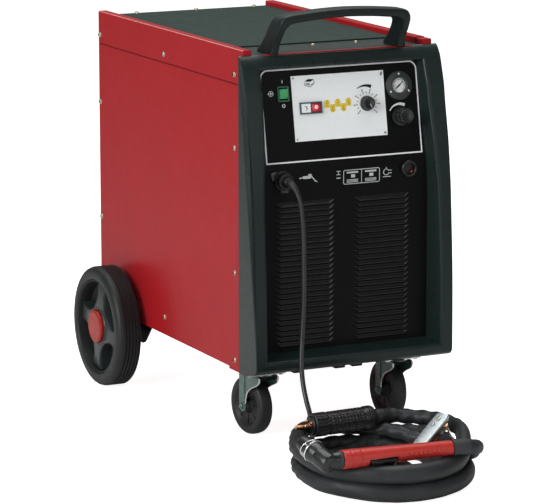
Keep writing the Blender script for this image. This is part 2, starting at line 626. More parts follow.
def make_front_frame():
    outline = [(0.0, 0.150), (-0.030, 0.1520), (-0.060, 0.1570), (-0.0720, 0.1608), (-0.0780, 0.1640), (-0.0812, 0.1675)]
    outline += [(y, z) for z, y in FRONT]
    outline += [(-0.0028, 0.8002), (0.0014, 0.8025), (0.010, 0.8060), (0.0205, 0.8095), (0.0310, 0.8120), (0.0310, 0.7950),
                (0.0, 0.7950)]
    bm = bmesh.new()
    add_outline(bm, outline, -0.226, 0.226, YZ)
    edges = []
    for e in bm.edges:
        a, b = e.verts
        if abs(abs(a.co.x) - 0.226) > 1e-5 or abs(a.co.x - b.co.x) > 1e-5:
            continue
        if max(a.co.y, b.co.y) > -0.0027 or min(a.co.z, b.co.z) < 0.1640:
            continue
        edges.append(e)
    bmesh.ops.bevel(bm, geom=edges, offset=0.0088, segments=6, affect="EDGES", profile=0.5, clamp_overlap=True)
    base = temp(bm)
    bend = CTRL_O.z + (PANEL_Y - CTRL_O.y) / math.tan(TILT)
    room = [(PANEL_Y - 0.0003, 0.1860), (PANEL_Y - 0.0003, bend), (panel_front(0.7760) - 0.0003, 0.7760),
            (0.06, 0.7760), (0.06, 0.1700), (-0.020, 0.1700), (-0.020, 0.1860)]
    levels = [(0.1850, 0.1945)] + [(z, z) for z in (0.22, 0.32, 0.38, 0.44, 0.48, 0.524, 0.565, 0.606, 0.647, 0.687,
                                                    0.728, 0.748)] + [(0.7740, 0.7690)]
    rings = []
    for zf, zb in levels:
        yf = lerp_table(FRONT, zf)
        yb = panel_front(zb) + 0.0010
        reach = 0.04
        xb, xf = lerp_table(MOUTH_BACK, zf), lerp_table(MOUTH_FRONT, zf)
        gx = (xf - xb) / max(0.02, yb - yf) * reach
        gz = (zf - zb) / max(0.02, yb - yf) * reach
        rings.append([Vector(p) for p in ((-xf - gx, yf - reach, zf + gz), (xf + gx, yf - reach, zf + gz),
                                          (xb, yb, zb), (-xb, yb, zb))])
    bm2 = bmesh.new()
    add_loft(bm2, rings)
    opening = temp(bm2)
    bm3 = carved(base, [prism_ob(room, -0.2062, 0.2062, YZ)])
    base = temp(bm3)
    bm4 = carved(base, [opening])
    # soften the mouth of the opening
    mouth = []
    for e in bm4.edges:
        a, b = e.verts
        ok = True
        for v in (a, b):
            on_front = abs(v.co.y - lerp_table(FRONT, v.co.z)) < 0.0006
            at_side = abs(abs(v.co.x) - lerp_table(MOUTH_FRONT, v.co.z)) < 0.0012
            at_end = abs(v.co.z - 0.1850) < 0.0008 or abs(v.co.z - 0.7740) < 0.0012
            if not (on_front and (at_side or at_end)):
                ok = False
        if ok and (all(abs(abs(v.co.x) - lerp_table(MOUTH_FRONT, v.co.z)) < 0.0012 for v in (a, b))
                   or abs(a.co.z - b.co.z) < 0.0005):
            mouth.append(e)
    if mouth:
        bmesh.ops.bevel(bm4, geom=mouth, offset=0.0052, segments=5, affect="EDGES", profile=0.5, clamp_overlap=False)
    base = temp(bm4)
    dip = [(-0.1915, 0.8140), (-0.1830, 0.8085), (-0.1755, 0.8035), (-0.1715, 0.8008), (-0.1675, 0.7992),
           (-0.1620, 0.7985)]
    dip = dip + [(-x, z) for x, z in reversed(dip)] + [(0.1915, 0.84), (-0.1915, 0.84)]
    cut1 = prism_ob(dip, -0.05, 0.06, facing(0, 0, 0))
    bm5 = bmesh.new()
    add_box(bm5, (-0.2300, 0.0002, 0.7800), (0.2300, 0.0500, 0.8300))
    cut2 = temp(bm5)
    return carved(base, [cut1, cut2])


bm = make_front_frame()
from_bm(bm, "front_frame_moulding", MOULD, sharp=38, gone=("front_frame",), weighted=True)

# small feet under the frame's lower bar, and the two moulded dots beside the front screws
bm = bmesh.new()
for x in (-0.115, -0.020, 0.020, 0.118):
    add_box(bm, (x - 0.012, -0.052, 0.1498), (x + 0.012, -0.030, 0.1560), r=0.002, seg=2)
from_bm(bm, "frame_lower_lugs", MOULD)

# ------------------------------------------------------------ front panel
bend = CTRL_O.z + (PANEL_Y - CTRL_O.y) / math.tan(TILT)
outer_line = [(PANEL_Y, 0.1868), (PANEL_Y, bend - 0.010), (PANEL_Y + 0.0001, bend - 0.005), (PANEL_Y + 0.0004, bend),
              (PANEL_Y + 0.0010, bend + 0.005), (panel_front(bend + 0.010), bend + 0.010), (panel_front(0.775), 0.775)]
inner_line = [(y + 0.0015, z) for y, z in outer_line]
bm = bmesh.new()
add_outline(bm, outer_line + inner_line[::-1], -0.2055, 0.2055, YZ)
from_bm(bm, "front_panel_sheet", PANEL, sharp=25, gone=("front_panel",), weighted=True)

LOUVRES, PITCH, LZ = 27, 0.0111, 0.2035
SECTION = [(0.0000, 0.0100), (0.0004, 0.0090), (0.0009, 0.0076), (0.0016, 0.0060), (0.0025, 0.0048), (0.0036, 0.0038),
           (0.0044, 0.0030), (0.0048, 0.0022), (0.0047, 0.0015), (0.0042, 0.0011), (0.0034, 0.0011), (0.0010, 0.0016),
           (-0.0008, 0.0040)]
bm = bmesh.new()
bmd = bmesh.new()
for i in range(LOUVRES):
    zb = LZ + i * PITCH
    for x0, x1 in ((-0.161, -0.026), (0.0175, 0.147)):
        xs = [0.0, 0.0012, 0.003, 0.006, 0.009, 0.0106, 0.0118, 0.013]
        n = 10
        cols = [x0 + v for v in xs] + [x0 + 0.013 + (x1 - x0 - 0.026) * k / n for k in range(1, n)]
        cols += [x1 - v for v in reversed(xs)]
        rows = []
        for x in cols:
            t = min(x - x0, x1 - x) / 0.0118
            f = min(1.0, max(0.0, t))
            f = f if f < 0.9 else 0.9 + 0.1 * smoothstep(0.0, 1.0, (f - 0.9) / 0.1)
            rows.append([Vector((x, PANEL_Y - 0.0002 - d * f, zb + 0.0100 + (dz - 0.0100) * f)) for d, dz in SECTION])
        add_sheet(bm, rows)
        add_box(bmd, (x0 + 0.010, PANEL_Y - 0.0010, zb - 0.0022), (x1 - 0.010, PANEL_Y - 0.0002, zb + 0.0040))
from_bm(bm, "louvre_hoods", SLAT, sharp=50)
from_bm(bmd, "louvre_gaps", HOLLOW, smooth=False)

# white outline round the control section
outer, inner = [], []
R, W = 0.018, 0.0030
for cx, a0 in ((0.179 - R, 0), (-0.179 + R, 90)):
    for k in range(13):
        a = math.radians(a0 + 7.5 * k)
        outer.append((cx + R * math.cos(a), 0.1905 - R + R * math.sin(a)))
        inner.append((cx + (R - W) * math.cos(a), 0.1905 - R + (R - W) * math.sin(a)))
outer = [(0.179, 0.0)] + outer + [(-0.179, 0.0)]
inner = [(0.179 - W, W)] + inner + [(-0.179 + W, W)]
bm = bmesh.new()
m = control(0, 0, 0.0004)
va = [bm.verts.new(m @ Vector((a, b, 0))) for a, b in outer]
vb = [bm.verts.new(m @ Vector((a, b, 0))) for a, b in inner]
for i in range(len(va)):
    k = (i + 1) % len(va)
    bm.faces.new((va[i], va[k], vb[k], vb[i]))
from_bm(bm, "panel_outline", PRINT, smooth=False)


def flat(shapes, name, mat, m, body=UNIT, thick=0.00025):
    """Printed shapes: outlines in a local plane, as very thin plates."""
    bm = bmesh.new()
    for s in shapes:
        add_outline(bm, s, 0.0, thick, m)
    return from_bm(bm, name, mat, smooth=False, body=body)


def disc(cx, cy, r, n=24):
    return [(cx + r * math.cos(2 * math.pi * k / n), cy + r * math.sin(2 * math.pi * k / n)) for k in range(n)]


def arc_band(cx, cy, r, a0, a1, w0, w1, n=20):
    """A curved band whose width runs from w0 to w1."""
    o, i = [], []
    for k in range(n + 1):
        t = k / n
        a = math.radians(a0 + (a1 - a0) * t)
        w = w0 + (w1 - w0) * t
        o.append((cx + (r + w / 2) * math.cos(a), cy + (r + w / 2) * math.sin(a)))
        i.append((cx + (r - w / 2) * math.cos(a), cy + (r - w / 2) * math.sin(a)))
    return o + i[::-1]


def stroke(x0, y0, x1, y1, w):
    d = Vector((x1 - x0, y1 - y0)).normalized() * (w / 2)
    n = Vector((-d.y, d.x))
    return [(x0 + n.x, y0 + n.y), (x0 - n.x, y0 - n.y), (x1 - n.x, y1 - n.y), (x1 + n.x, y1 + n.y)]


def rect(x0, y0, x1, y1):
    return [(x0, y0), (x1, y0), (x1, y1), (x0, y1)]


def rrect(x0, y0, x1, y1, r, n=5):
    out = []
    for cx, cy, a0 in ((x1 - r, y0 + r, -90), (x1 - r, y1 - r, 0), (x0 + r, y1 - r, 90), (x0 + r, y0 + r, 180)):
        for k in range(n + 1):
            a = math.radians(a0 + 90 * k / n)
            out.append((cx + r * math.cos(a), cy + r * math.sin(a)))
    return out


CT = control(0, 0, 0.0004)
marks = [stroke(-0.1300, 0.1620, -0.1300, 0.1680, 0.0013)]
marks += [arc_band(-0.1300, 0.1160, 0.0030, 0, 359.5, 0.0012, 0.0012, 24)]
marks += [arc_band(-0.1570, 0.1420, 0.0052, 0, 359.5, 0.0009, 0.0009, 28), stroke(-0.1650, 0.1420, -0.1505, 0.1420, 0.0009),
          stroke(-0.1570, 0.1388, -0.1570, 0.1452, 0.0016)]
# the regulator's rising band
marks += [arc_band(0.1330, 0.0770, 0.0262, 150, 62, 0.0016, 0.0062, 24)]
flat(marks, "control_marks_white", PRINT, CT)

LM = facing(0, PANEL_Y - 0.0003, 0)

CP = control(0, 0, 0.0015)
knob_c = (0.0580, 0.1090)
dark = [arc_band(knob_c[0] - 0.0020, knob_c[1] + 0.0010, 0.0355, 122, 66, 0.0008, 0.0072, 28)]
for k in range(15):
    a = math.radians(222 - 18.9 * k)
    r0, r1 = 0.0205, 0.0240 if k % 2 else 0.0262
    dark.append(stroke(knob_c[0] + r0 * math.cos(a), knob_c[1] + r0 * math.sin(a),
                       knob_c[0] + r1 * math.cos(a), knob_c[1] + r1 * math.sin(a), 0.0011))
    if k % 2 == 0:
        dark.append(disc(knob_c[0] + 0.0286 * math.cos(a), knob_c[1] + 0.0286 * math.sin(a), 0.0014, 12))
# a plain picture of an open book with a page of lines
dark += [[(-0.0800, 0.1620), (-0.0720, 0.1665), (-0.0590, 0.1660), (-0.0665, 0.1610)],
         stroke(-0.0805, 0.1600, -0.0800, 0.1540, 0.0008), stroke(-0.0590, 0.1640, -0.0585, 0.1570, 0.0008),
         stroke(-0.0800, 0.1540, -0.0680, 0.1505, 0.0008), stroke(-0.0680, 0.1505, -0.0585, 0.1570, 0.0008),
         stroke(-0.0770, 0.1590, -0.0680, 0.1572, 0.0009), stroke(-0.0765, 0.1570, -0.0680, 0.1550, 0.0009)]
flat(dark, "plate_marks_dark", INK, CP)
pale = [stroke(-0.0790, 0.1560, -0.0690, 0.1535, 0.0006), stroke(-0.0655, 0.1545, -0.0605, 0.1580, 0.0006),
        rrect(0.0935, 0.1640, 0.0965, 0.1700, 0.0006), rrect(0.0935, 0.0450, 0.0960, 0.0490, 0.0006)]
flat(pale, "plate_marks_grey", GAUGE, CP)
yel, ydark = [], []
for k, (x, s) in enumerate(((-0.0330, 0.1128), (-0.0208, 0.1052), (-0.0085, 0.1132), (0.0038, 0.1056), (0.0160, 0.1138))):
    yel.append(rrect(x - 0.0060, s - 0.0070, x + 0.0060, s + 0.0070, 0.0018))
    up = k % 2 == 0
    yel.append(rrect(x - 0.0030, s + 0.0050 if up else s - 0.0092, x + 0.0040, s + 0.0092 if up else s - 0.0050, 0.0010))
    ydark += [stroke(x - 0.0030, s + 0.0022, x + 0.0030, s + 0.0022, 0.0006), stroke(x, s - 0.0035, x, s + 0.0015, 0.0007),
              stroke(x - 0.0022, s - 0.0036, x + 0.0022, s - 0.0036, 0.0006)]
flat(yel, "plate_marks_yellow", YELLOW, CP)
flat(ydark, "plate_marks_olive", INKY, control(0, 0, 0.0018))

# symbols by the lower fittings: a hand torch, a table of two cells, a work clamp
sym = [rrect(-0.0985, 0.5475, -0.0790, 0.5535, 0.0025), stroke(-0.0790, 0.5525, -0.0700, 0.5420, 0.0022),
       stroke(-0.1060, 0.5495, -0.0980, 0.5505, 0.0022), rrect(-0.0860, 0.5530, -0.0780, 0.5568, 0.0015),
       stroke(-0.0700, 0.5420, -0.0655, 0.5400, 0.0022)]
sym += [stroke(-0.0215, 0.5575, -0.0125, 0.5575, 0.0013), stroke(-0.0215, 0.5505, -0.0125, 0.5505, 0.0013),
        stroke(-0.0170, 0.5505, -0.0170, 0.5575, 0.0013), stroke(-0.0215, 0.5435, -0.0125, 0.5435, 0.0020)]
x0, x1, z0, z1 = -0.0060, 0.0780, 0.5290, 0.5590
o = rrect(x0, z0, x1, z1, 0.004)
i_ = rrect(x0 + 0.0014, z0 + 0.0014, x1 - 0.0014, z1 - 0.0014, 0.0028)
ringed = [(o[k], o[(k + 1) % len(o)], i_[(k + 1) % len(o)], i_[k]) for k in range(len(o))]
sym += [list(r) for r in ringed]
sym += [stroke(0.0360, z0 + 0.001, 0.0360, z1 - 0.001, 0.0012)]
for cx in (0.0150, 0.0570):
    sym += [rect(cx - 0.0130, 0.5515, cx + 0.0130, 0.5550), rect(cx - 0.0030, 0.5425, cx + 0.0060, 0.5490),
            rect(cx - 0.0130, 0.5325, cx + 0.0130, 0.5338), rect(cx - 0.0130, 0.5350, cx + 0.0130, 0.5363),
            rect(cx - 0.0130, 0.5375, cx + 0.0130, 0.5388)]
sym += [arc_band(0.0930, 0.5480, 0.0062, 20, 340, 0.0014, 0.0014, 20), stroke(0.0985, 0.5510, 0.1060, 0.5510, 0.0014),
        stroke(0.0985, 0.5455, 0.1060, 0.5455, 0.0014), rect(0.0850, 0.5375, 0.1040, 0.5390),
        stroke(0.0930, 0.5540, 0.0930, 0.5580, 0.0014)]
flat(sym, "lower_symbols", PRINT2, LM)

# --------------------------------------------------------------- controls
SW = control(-0.1300, 0.1400)
bm = bmesh.new()
for lo, hi in (((-0.0125, -0.0155, 0.0003), (-0.0100, 0.0155, 0.0040)), ((0.0100, -0.0155, 0.0003), (0.0125, 0.0155, 0.0040)),
               ((-0.0125, 0.0130, 0.0003), (0.0125, 0.0155, 0.0040)), ((-0.0125, -0.0155, 0.0003), (0.0125, -0.0130, 0.0040))):
    add_box(bm, lo, hi, SW, 0.0007, 2)
from_bm(bm, "switch_bezel", GREENB, gone=("switch_housing",))
bm = bmesh.new()
add_box(bm, (-0.0102, -0.0132, -0.0100), (0.0102, 0.0132, 0.0008), SW)
from_bm(bm, "switch_well", HOLLOW, smooth=False)
rock = [(-0.0112, 0.0042), (-0.0104, 0.0058), (-0.0080, 0.0064), (-0.0040, 0.0068), (0.0000, 0.0074), (0.0040, 0.0082),
        (0.0080, 0.0094), (0.0104, 0.0102), (0.0114, 0.0092), (0.0114, 0.0010), (0.0060, -0.0045), (-0.0060, -0.0045),
        (-0.0112, 0.0010)]
piv = control(-0.130, 0.140, -0.0020)
pm = mat4(piv.translation, piv.col[1].to_3d(), piv.col[2].to_3d(), piv.col[0].to_3d())
bm = bmesh.new()
add_outline(bm, [(a * 0.88, b) for a, b in rock], -0.0088, 0.0088, pm, 0.0008, 3)
from_bm(bm, "switch_rocker_cap", GREENP, body="switch_rocker_body", gone=("switch_rocker",))

IW = control(-0.0706, 0.1080)
bm = bmesh.new()
for lo, hi in (((-0.0250, -0.0120, 0.0016), (-0.0222, 0.0120, 0.0054)), ((0.0216, -0.0120, 0.0016), (0.0250, 0.0120, 0.0054)),
               ((-0.0250, 0.0092, 0.0016), (0.0250, 0.0120, 0.0054)), ((-0.0250, -0.0120, 0.0016), (0.0250, -0.0092, 0.0054)),
               ((-0.0010, -0.0094, 0.0016), (0.0006, 0.0094, 0.0046))):
    add_box(bm, lo, hi, IW, 0.0007, 2)
from_bm(bm, "window_bezel", BEZEL, gone=("indicator_frame",))
bm = bmesh.new()
add_box(bm, (-0.0224, -0.0094, 0.0010), (-0.0008, 0.0094, 0.0044), IW, 0.0004, 1)
from_bm(bm, "window_label", PLATE)
flat([stroke(-0.0150, 0.0035, -0.0085, 0.0035, 0.0009), stroke(-0.0085, 0.0035, -0.0120, -0.0002, 0.0009),
      stroke(-0.0120, -0.0002, -0.0075, -0.0002, 0.0009), stroke(-0.0075, -0.0002, -0.0125, -0.0050, 0.0009)],
     "window_sign", GAUGE, control(-0.0706, 0.1080, 0.0045))
bm = bmesh.new()
add_box(bm, (0.0015, -0.0083, -0.0095), (0.0207, 0.0083, 0.0060), IW, 0.0012, 3)
from_bm(bm, "button_cap", BUTTON, body="indicator_button_body", gone=("indicator_button",))
bm = bmesh.new()
add_spin(bm, [(0.0042, 0.0058), (0.0042, 0.0066), (0.0036, 0.0072), (0.0022, 0.0076), (0, 0.0077)], 32,
         IW @ Matrix.Translation((0.0111, 0.0010, 0)))
from_bm(bm, "button_lamp", GLOW, body="indicator_button_body")

# current knob with grip ribs and a pointer
KN = control(0.0580, 0.1090)
bm = bmesh.new()


def ribbed(n, depth, zlo, zhi, sharpness=1.0):
    def f(i, j, r, z, steps=None):
        if zlo <= z <= zhi:
            a = 2 * math.pi * i / 144
            w = 0.5 + 0.5 * math.cos(a * n)
            return r - depth * (1 - w ** sharpness)
        return r
    return f


add_spin(bm, [(0.0156, 0.0020), (0.0157, 0.0034), (0.0150, 0.0042), (0.0146, 0.0052), (0.0143, 0.0100), (0.0138, 0.0140),
              (0.0132, 0.0152), (0.0118, 0.0160), (0.0112, 0.0156), (0.0108, 0.0152), (0, 0.0150)], 144, KN,
         ribbed(18, 0.0013, 0.0050, 0.0153))
from_bm(bm, "current_knob_cap", KNOB, body="current_knob_body", sharp=40, gone=("current_knob",))
bm = bmesh.new()
PT = KN @ Matrix.Rotation(math.radians(-62), 4, "Z")
add_box(bm, (0.0020, -0.0006, 0.0150), (0.0104, 0.0006, 0.0156), PT, 0.0002, 1)
from_bm(bm, "current_knob_pointer", PRINT2, body="current_knob_body")

# pressure gauge
GA = control(0.1345, 0.1408)
bm = bmesh.new()
add_spin(bm, [(0.0300, 0.0004), (0.0300, 0.0044), (0.0294, 0.0052), (0.0270, 0.0058), (0.0225, 0.0062), (0.0205, 0.0066),
              (0.0195, 0.0078), (0.0183, 0.0080), (0.0172, 0.0076), (0.0165, 0.0064), (0.0163, 0.0026), (0.0163, 0.0016),
              (0, 0.0016)], 96, GA)
from_bm(bm, "gauge_bezel", GAUGE, sharp=50, gone=("gauge_case",))
bm = bmesh.new()
add_spin(bm, [(0.0161, 0.0018), (0.0161, 0.0023), (0, 0.0024)], 64, GA)
from_bm(bm, "gauge_dial_card", DIAL, sharp=20, gone=("gauge_dial",))
gm = control(0.1345, 0.1408, 0.0025)
gmarks = [arc_band(0, 0, 0.0126, 225, -45, 0.0008, 0.0008, 40), arc_band(0, 0, 0.0154, 0, 359.5, 0.0014, 0.0014, 60)]
for k in range(19):
    a = math.radians(225 - 15 * k)
    r0 = 0.0100 if k % 3 == 0 else 0.0110
    gmarks.append(stroke(r0 * math.cos(a), r0 * math.sin(a), 0.0124 * math.cos(a), 0.0124 * math.sin(a),
                         0.0011 if k % 3 == 0 else 0.0005))
flat(gmarks, "gauge_scale", INK, gm)
NM = GA @ Matrix.Rotation(math.radians(38), 4, "Z")
bm = bmesh.new()
add_outline(bm, [(-0.0100, -0.0014), (-0.0030, -0.0018), (0.0122, -0.0006), (0.0122, 0.0006), (-0.0030, 0.0018),
                 (-0.0100, 0.0014)], 0.0029, 0.0034, NM)
add_spin(bm, [(0.0022, 0.0028), (0.0022, 0.0038), (0.0016, 0.0041), (0, 0.0041)], 24, NM)
from_bm(bm, "gauge_pointer", INK, body="gauge_needle_body", gone=("gauge_needle",))
bm = bmesh.new()
add_spin(bm, [(0.0162, 0.0044), (0.0160, 0.0050), (0.0140, 0.0054), (0.0090, 0.0057), (0, 0.0058)], 48, GA)
from_bm(bm, "gauge_glass", GLASS, gone=("gauge_lens",))

# air regulator: collar and ribbed pull-up knob
RG = control(0.1330, 0.0770)
bm = bmesh.new()
add_spin(bm, [(0.0196, 0.0004), (0.0196, 0.0046), (0.0190, 0.0056), (0.0176, 0.0062), (0.0150, 0.0064), (0.0140, 0.0070),
              (0.0136, 0.0110), (0, 0.0112)], 96, RG)
from_bm(bm, "regulator_collar", PLASTIC, gone=("regulator_body",))
bm = bmesh.new()
add_spin(bm, [(0.0140, 0.0113), (0.0152, 0.0120), (0.0158, 0.0140), (0.0158, 0.0180), (0.0150, 0.0186), (0.0150, 0.0196),
              (0.0160, 0.0202), (0.0163, 0.0240), (0.0163, 0.0300), (0.0160, 0.0322), (0.0152, 0.0332), (0.0136, 0.0337),
              (0.0124, 0.0335), (0.0118, 0.0328), (0, 0.0326)], 144, RG, ribbed(20, 0.0018, 0.0200, 0.0334))
from_bm(bm, "regulator_grip", KNOB, body="regulator_knob_body", sharp=45, gone=("regulator_knob",))

# cable gland: clamp plate, knurled nut, tapered relief
GL = facing(-0.1435, PANEL_Y, 0.548)
bm = bmesh.new()
add_spin(bm, [(0.0205, 0.0003), (0.0205, 0.0040), (0.0195, 0.0052), (0.0168, 0.0054), (0.0166, 0.0070), (0, 0.0070)], 72, GL)
add_spin(bm, [(0.0150, 0.0060), (0.0168, 0.0068), (0.0172, 0.0080), (0.0172, 0.0165), (0.0164, 0.0180), (0.0120, 0.0186),
              (0, 0.0186)], 144, GL, ribbed(20, 0.0014, 0.0078, 0.0168))
add_spin(bm, [(0.0118, 0.0180), (0.0112, 0.0200), (0.0106, 0.0240), (0.0098, 0.0285), (0.0086, 0.0300), (0, 0.0300)], 48, GL)
from_bm(bm, "gland_nut", PLASTIC, sharp=40, gone=("cable_gland",))
bm = bmesh.new()
add_box(bm, (-0.0230, 0.0080, 0.0004), (-0.0060, 0.0250, 0.0040), GL @ Matrix.Rotation(math.radians(18), 4, "Z"), 0.0012, 2)
add_box(bm, (-0.0060, -0.0255, 0.0004), (0.0120, -0.0110, 0.0040), GL, 0.0012, 2)
from_bm(bm, "gland_plate", KNOB)
RLF = [Vector((-0.1435, PANEL_Y - 0.0275, 0.548)), Vector((-0.1435, PANEL_Y - 0.0350, 0.548)),
       Vector((-0.1432, PANEL_Y - 0.0405, 0.5470)), Vector((-0.1415, PANEL_Y - 0.0470, 0.5425)),
       Vector((-0.1395, PANEL_Y - 0.0515, 0.5370)), Vector((-0.1375, PANEL_Y - 0.0550, 0.5300))]
bm = bmesh.new()
rp = spline(RLF, 0.0016)
add_tube(bm, rp, lambda k: 0.0084 - 0.0026 * k / (len(rp) - 1) - (0.0008 if k % 3 == 1 else 0.0), 28)
from_bm(bm, "gland_relief", RUBBER, sharp=70)

# return socket
SO = facing(0.1450, PANEL_Y, 0.552)
bm = bmesh.new()
add_spin(bm, [(0.0180, 0.0003), (0.0182, 0.0040), (0.0176, 0.0066), (0.0162, 0.0082), (0.0145, 0.0088), (0.0128, 0.0084),
              (0.0116, 0.0072), (0.0110, 0.0040), (0.0108, -0.0080), (0.0060, -0.0110), (0, -0.0112)], 96, SO)
from_bm(bm, "socket_ring", PLASTIC, sharp=45, gone=("return_socket",))
bm = bmesh.new()
add_spin(bm, [(0.0102, -0.0110), (0.0098, -0.0020), (0.0080, -0.0016), (0.0078, -0.0108)], 48,
         SO @ Matrix.Translation((0.0, 0.0, 0.0)), ring=True)
from_bm(bm, "socket_contact", BRASS, sharp=40)
bm = bmesh.new()
add_box(bm, (0.0000, -0.0095, 0.0030), (0.0050, -0.0065, 0.0052), SO @ Matrix.Rotation(math.radians(20), 4, "Z"), 0.0008, 2)
from_bm(bm, "socket_mark", PINK)

# -------------------------------------------------- printed plate and top
pick(["control_plate"], PLATE)
pick(["left_side_panel", "right_side_panel", "rear_panel", "base_chassis"], RED)
pick(["top_cover"], TOPPAINT)
pick(["top_mat"], TOPMAT)
pick(["rear_axle"], ZINC)
pick(["transformer_core"], IRON)
pick(["transformer_winding"], WIRE)
pick(["heat_sink"], ALU)
pick(["control_board"], BOARD)

for sx, side in ((-1, "left"), (1, "right")):
    bm = bmesh.new()
    rail = [(sx * 0.2150, 0.7935), (sx * 0.2150, 0.8092), (sx * 0.2142, 0.8112), (sx * 0.2122, 0.8120),
            (sx * 0.1988, 0.8120), (sx * 0.1968, 0.8112), (sx * 0.1960, 0.8092), (sx * 0.1960, 0.7985), (sx * 0.1980, 0.7960)]
    add_outline(bm, rail, -0.0314, -0.0002, facing(0, 0, 0))
    from_bm(bm, "rail_front_" + side, RED, smooth=False)
    # bright worn edge along the rail's outer top corner
    bm = bmesh.new()
    pts = [Vector((sx * 0.2142, 0.0010 + 0.7370 * k / 24, 0.8113)) for k in range(25)]
    add_tube(bm, pts, 0.0011, 8)
    from_bm(bm, "rail_edge_" + side, RAIL, sharp=60)
    # lap seam of the upper side sheet
    bm = bmesh.new()
    add_box(bm, (sx * 0.2150 - 0.0007, 0.0010, 0.7393), (sx * 0.2150 + 0.0003, 0.7380, 0.7407))
    from_bm(bm, "side_seam_" + side, SEAM, smooth=False)

# the thin red line of the cover's folded front edge, behind the frame's bar
bm = bmesh.new()
add_box(bm, (-0.1930, 0.0040, 0.7925), (0.1930, 0.0120, 0.8002), I4, 0.0010, 2)
from_bm(bm, "cover_front_fold", RED)
bm = bmesh.new()
add_box(bm, (-0.1930, 0.0122, 0.7930), (0.1930, 0.0340, 0.7998), I4, 0.0004, 1)
from_bm(bm, "cover_front_strip", TOPPAINT)

# ------------------------------------------------------------ carry handle
outer = [(-0.1560, 0.8003), (-0.1538, 0.8150), (-0.1526, 0.8300), (-0.1518, 0.8460), (-0.1508, 0.8580), (-0.1480, 0.8695),
         (-0.1425, 0.8775), (-0.1340, 0.8818), (-0.1220, 0.8838), (-0.0960, 0.8862), (-0.0600, 0.8889), (0.0, 0.8910)]
inner = [(-0.1345, 0.8003), (-0.1340, 0.8150), (-0.1336, 0.8300), (-0.1330, 0.8420), (-0.1318, 0.8500), (-0.1292, 0.8560),
         (-0.1250, 0.8604), (-0.1200, 0.8630), (-0.1130, 0.8644), (-0.0920, 0.8668), (-0.0580, 0.8698), (0.0, 0.8720)]
REAR = [(0.795, 0.0680), (0.806, 0.0655), (0.818, 0.0500), (0.834, 0.0350), (0.856, 0.0190), (0.876, 0.0090),
        (0.8905, 0.0020), (0.895, -0.0040)]
FORE = [(0.795, 0.0335), (0.8004, 0.0332), (0.8010, -0.0020), (0.8085, -0.0040), (0.822, -0.0090), (0.840, -0.0220),
        (0.860, -0.0345), (0.876, -0.0400), (0.895, -0.0405)]
FORE = [(0.8010, -0.0025), (0.8085, -0.0040), (0.822, -0.0090), (0.840, -0.0220), (0.860, -0.0345), (0.876, -0.0395),
        (0.895, -0.0405)]


def resample(line, n):
    ks = spline([Vector((x, z, 0)) for x, z in line], 0.004)
    total = path_length(ks)
    out, acc, k = [], 0.0, 0
    for i in range(n + 1):
        want = total * i / n
        while k < len(ks) - 2 and acc + (ks[k + 1] - ks[k]).length < want:
            acc += (ks[k + 1] - ks[k]).length
            k += 1
        d = (ks[k + 1] - ks[k]).length
        t = (want - acc) / d if d else 0
        out.append(ks[k].lerp(ks[k + 1], min(1.0, max(0.0, t))))
    return out


full_out = outer + [(-x, z) for x, z in reversed(outer[:-1])]
full_in = inner + [(-x, z) for x, z in reversed(inner[:-1])]
NS = 96
po, pi_ = resample(full_out, NS), resample(full_in, NS)
rings = []
SIDES = 40
for i in range(NS + 1):
    a, b = po[i], pi_[i]
    ring = []
    for j in range(SIDES):
        t = 2 * math.pi * j / SIDES
        c, s = math.cos(t), math.sin(t)
        e = 0.42
        u = math.copysign(abs(c) ** e, c)       # across the bar
        v = math.copysign(abs(s) ** e, s)       # front to rear
        p = b.lerp(a, 0.5 + 0.5 * u)
        z = max(0.8004, p.y)
        y0, y1 = lerp_table(FORE, z), lerp_table(REAR, z)
        y = (y0 + y1) / 2 + (y1 - y0) / 2 * v
        ring.append(Vector((p.x, y, z)))
    rings.append(ring)
bm = bmesh.new()
add_loft(bm, rings)
from_bm(bm, "handle_bow", HANDLE, sharp=60, gone=("carry_handle",))

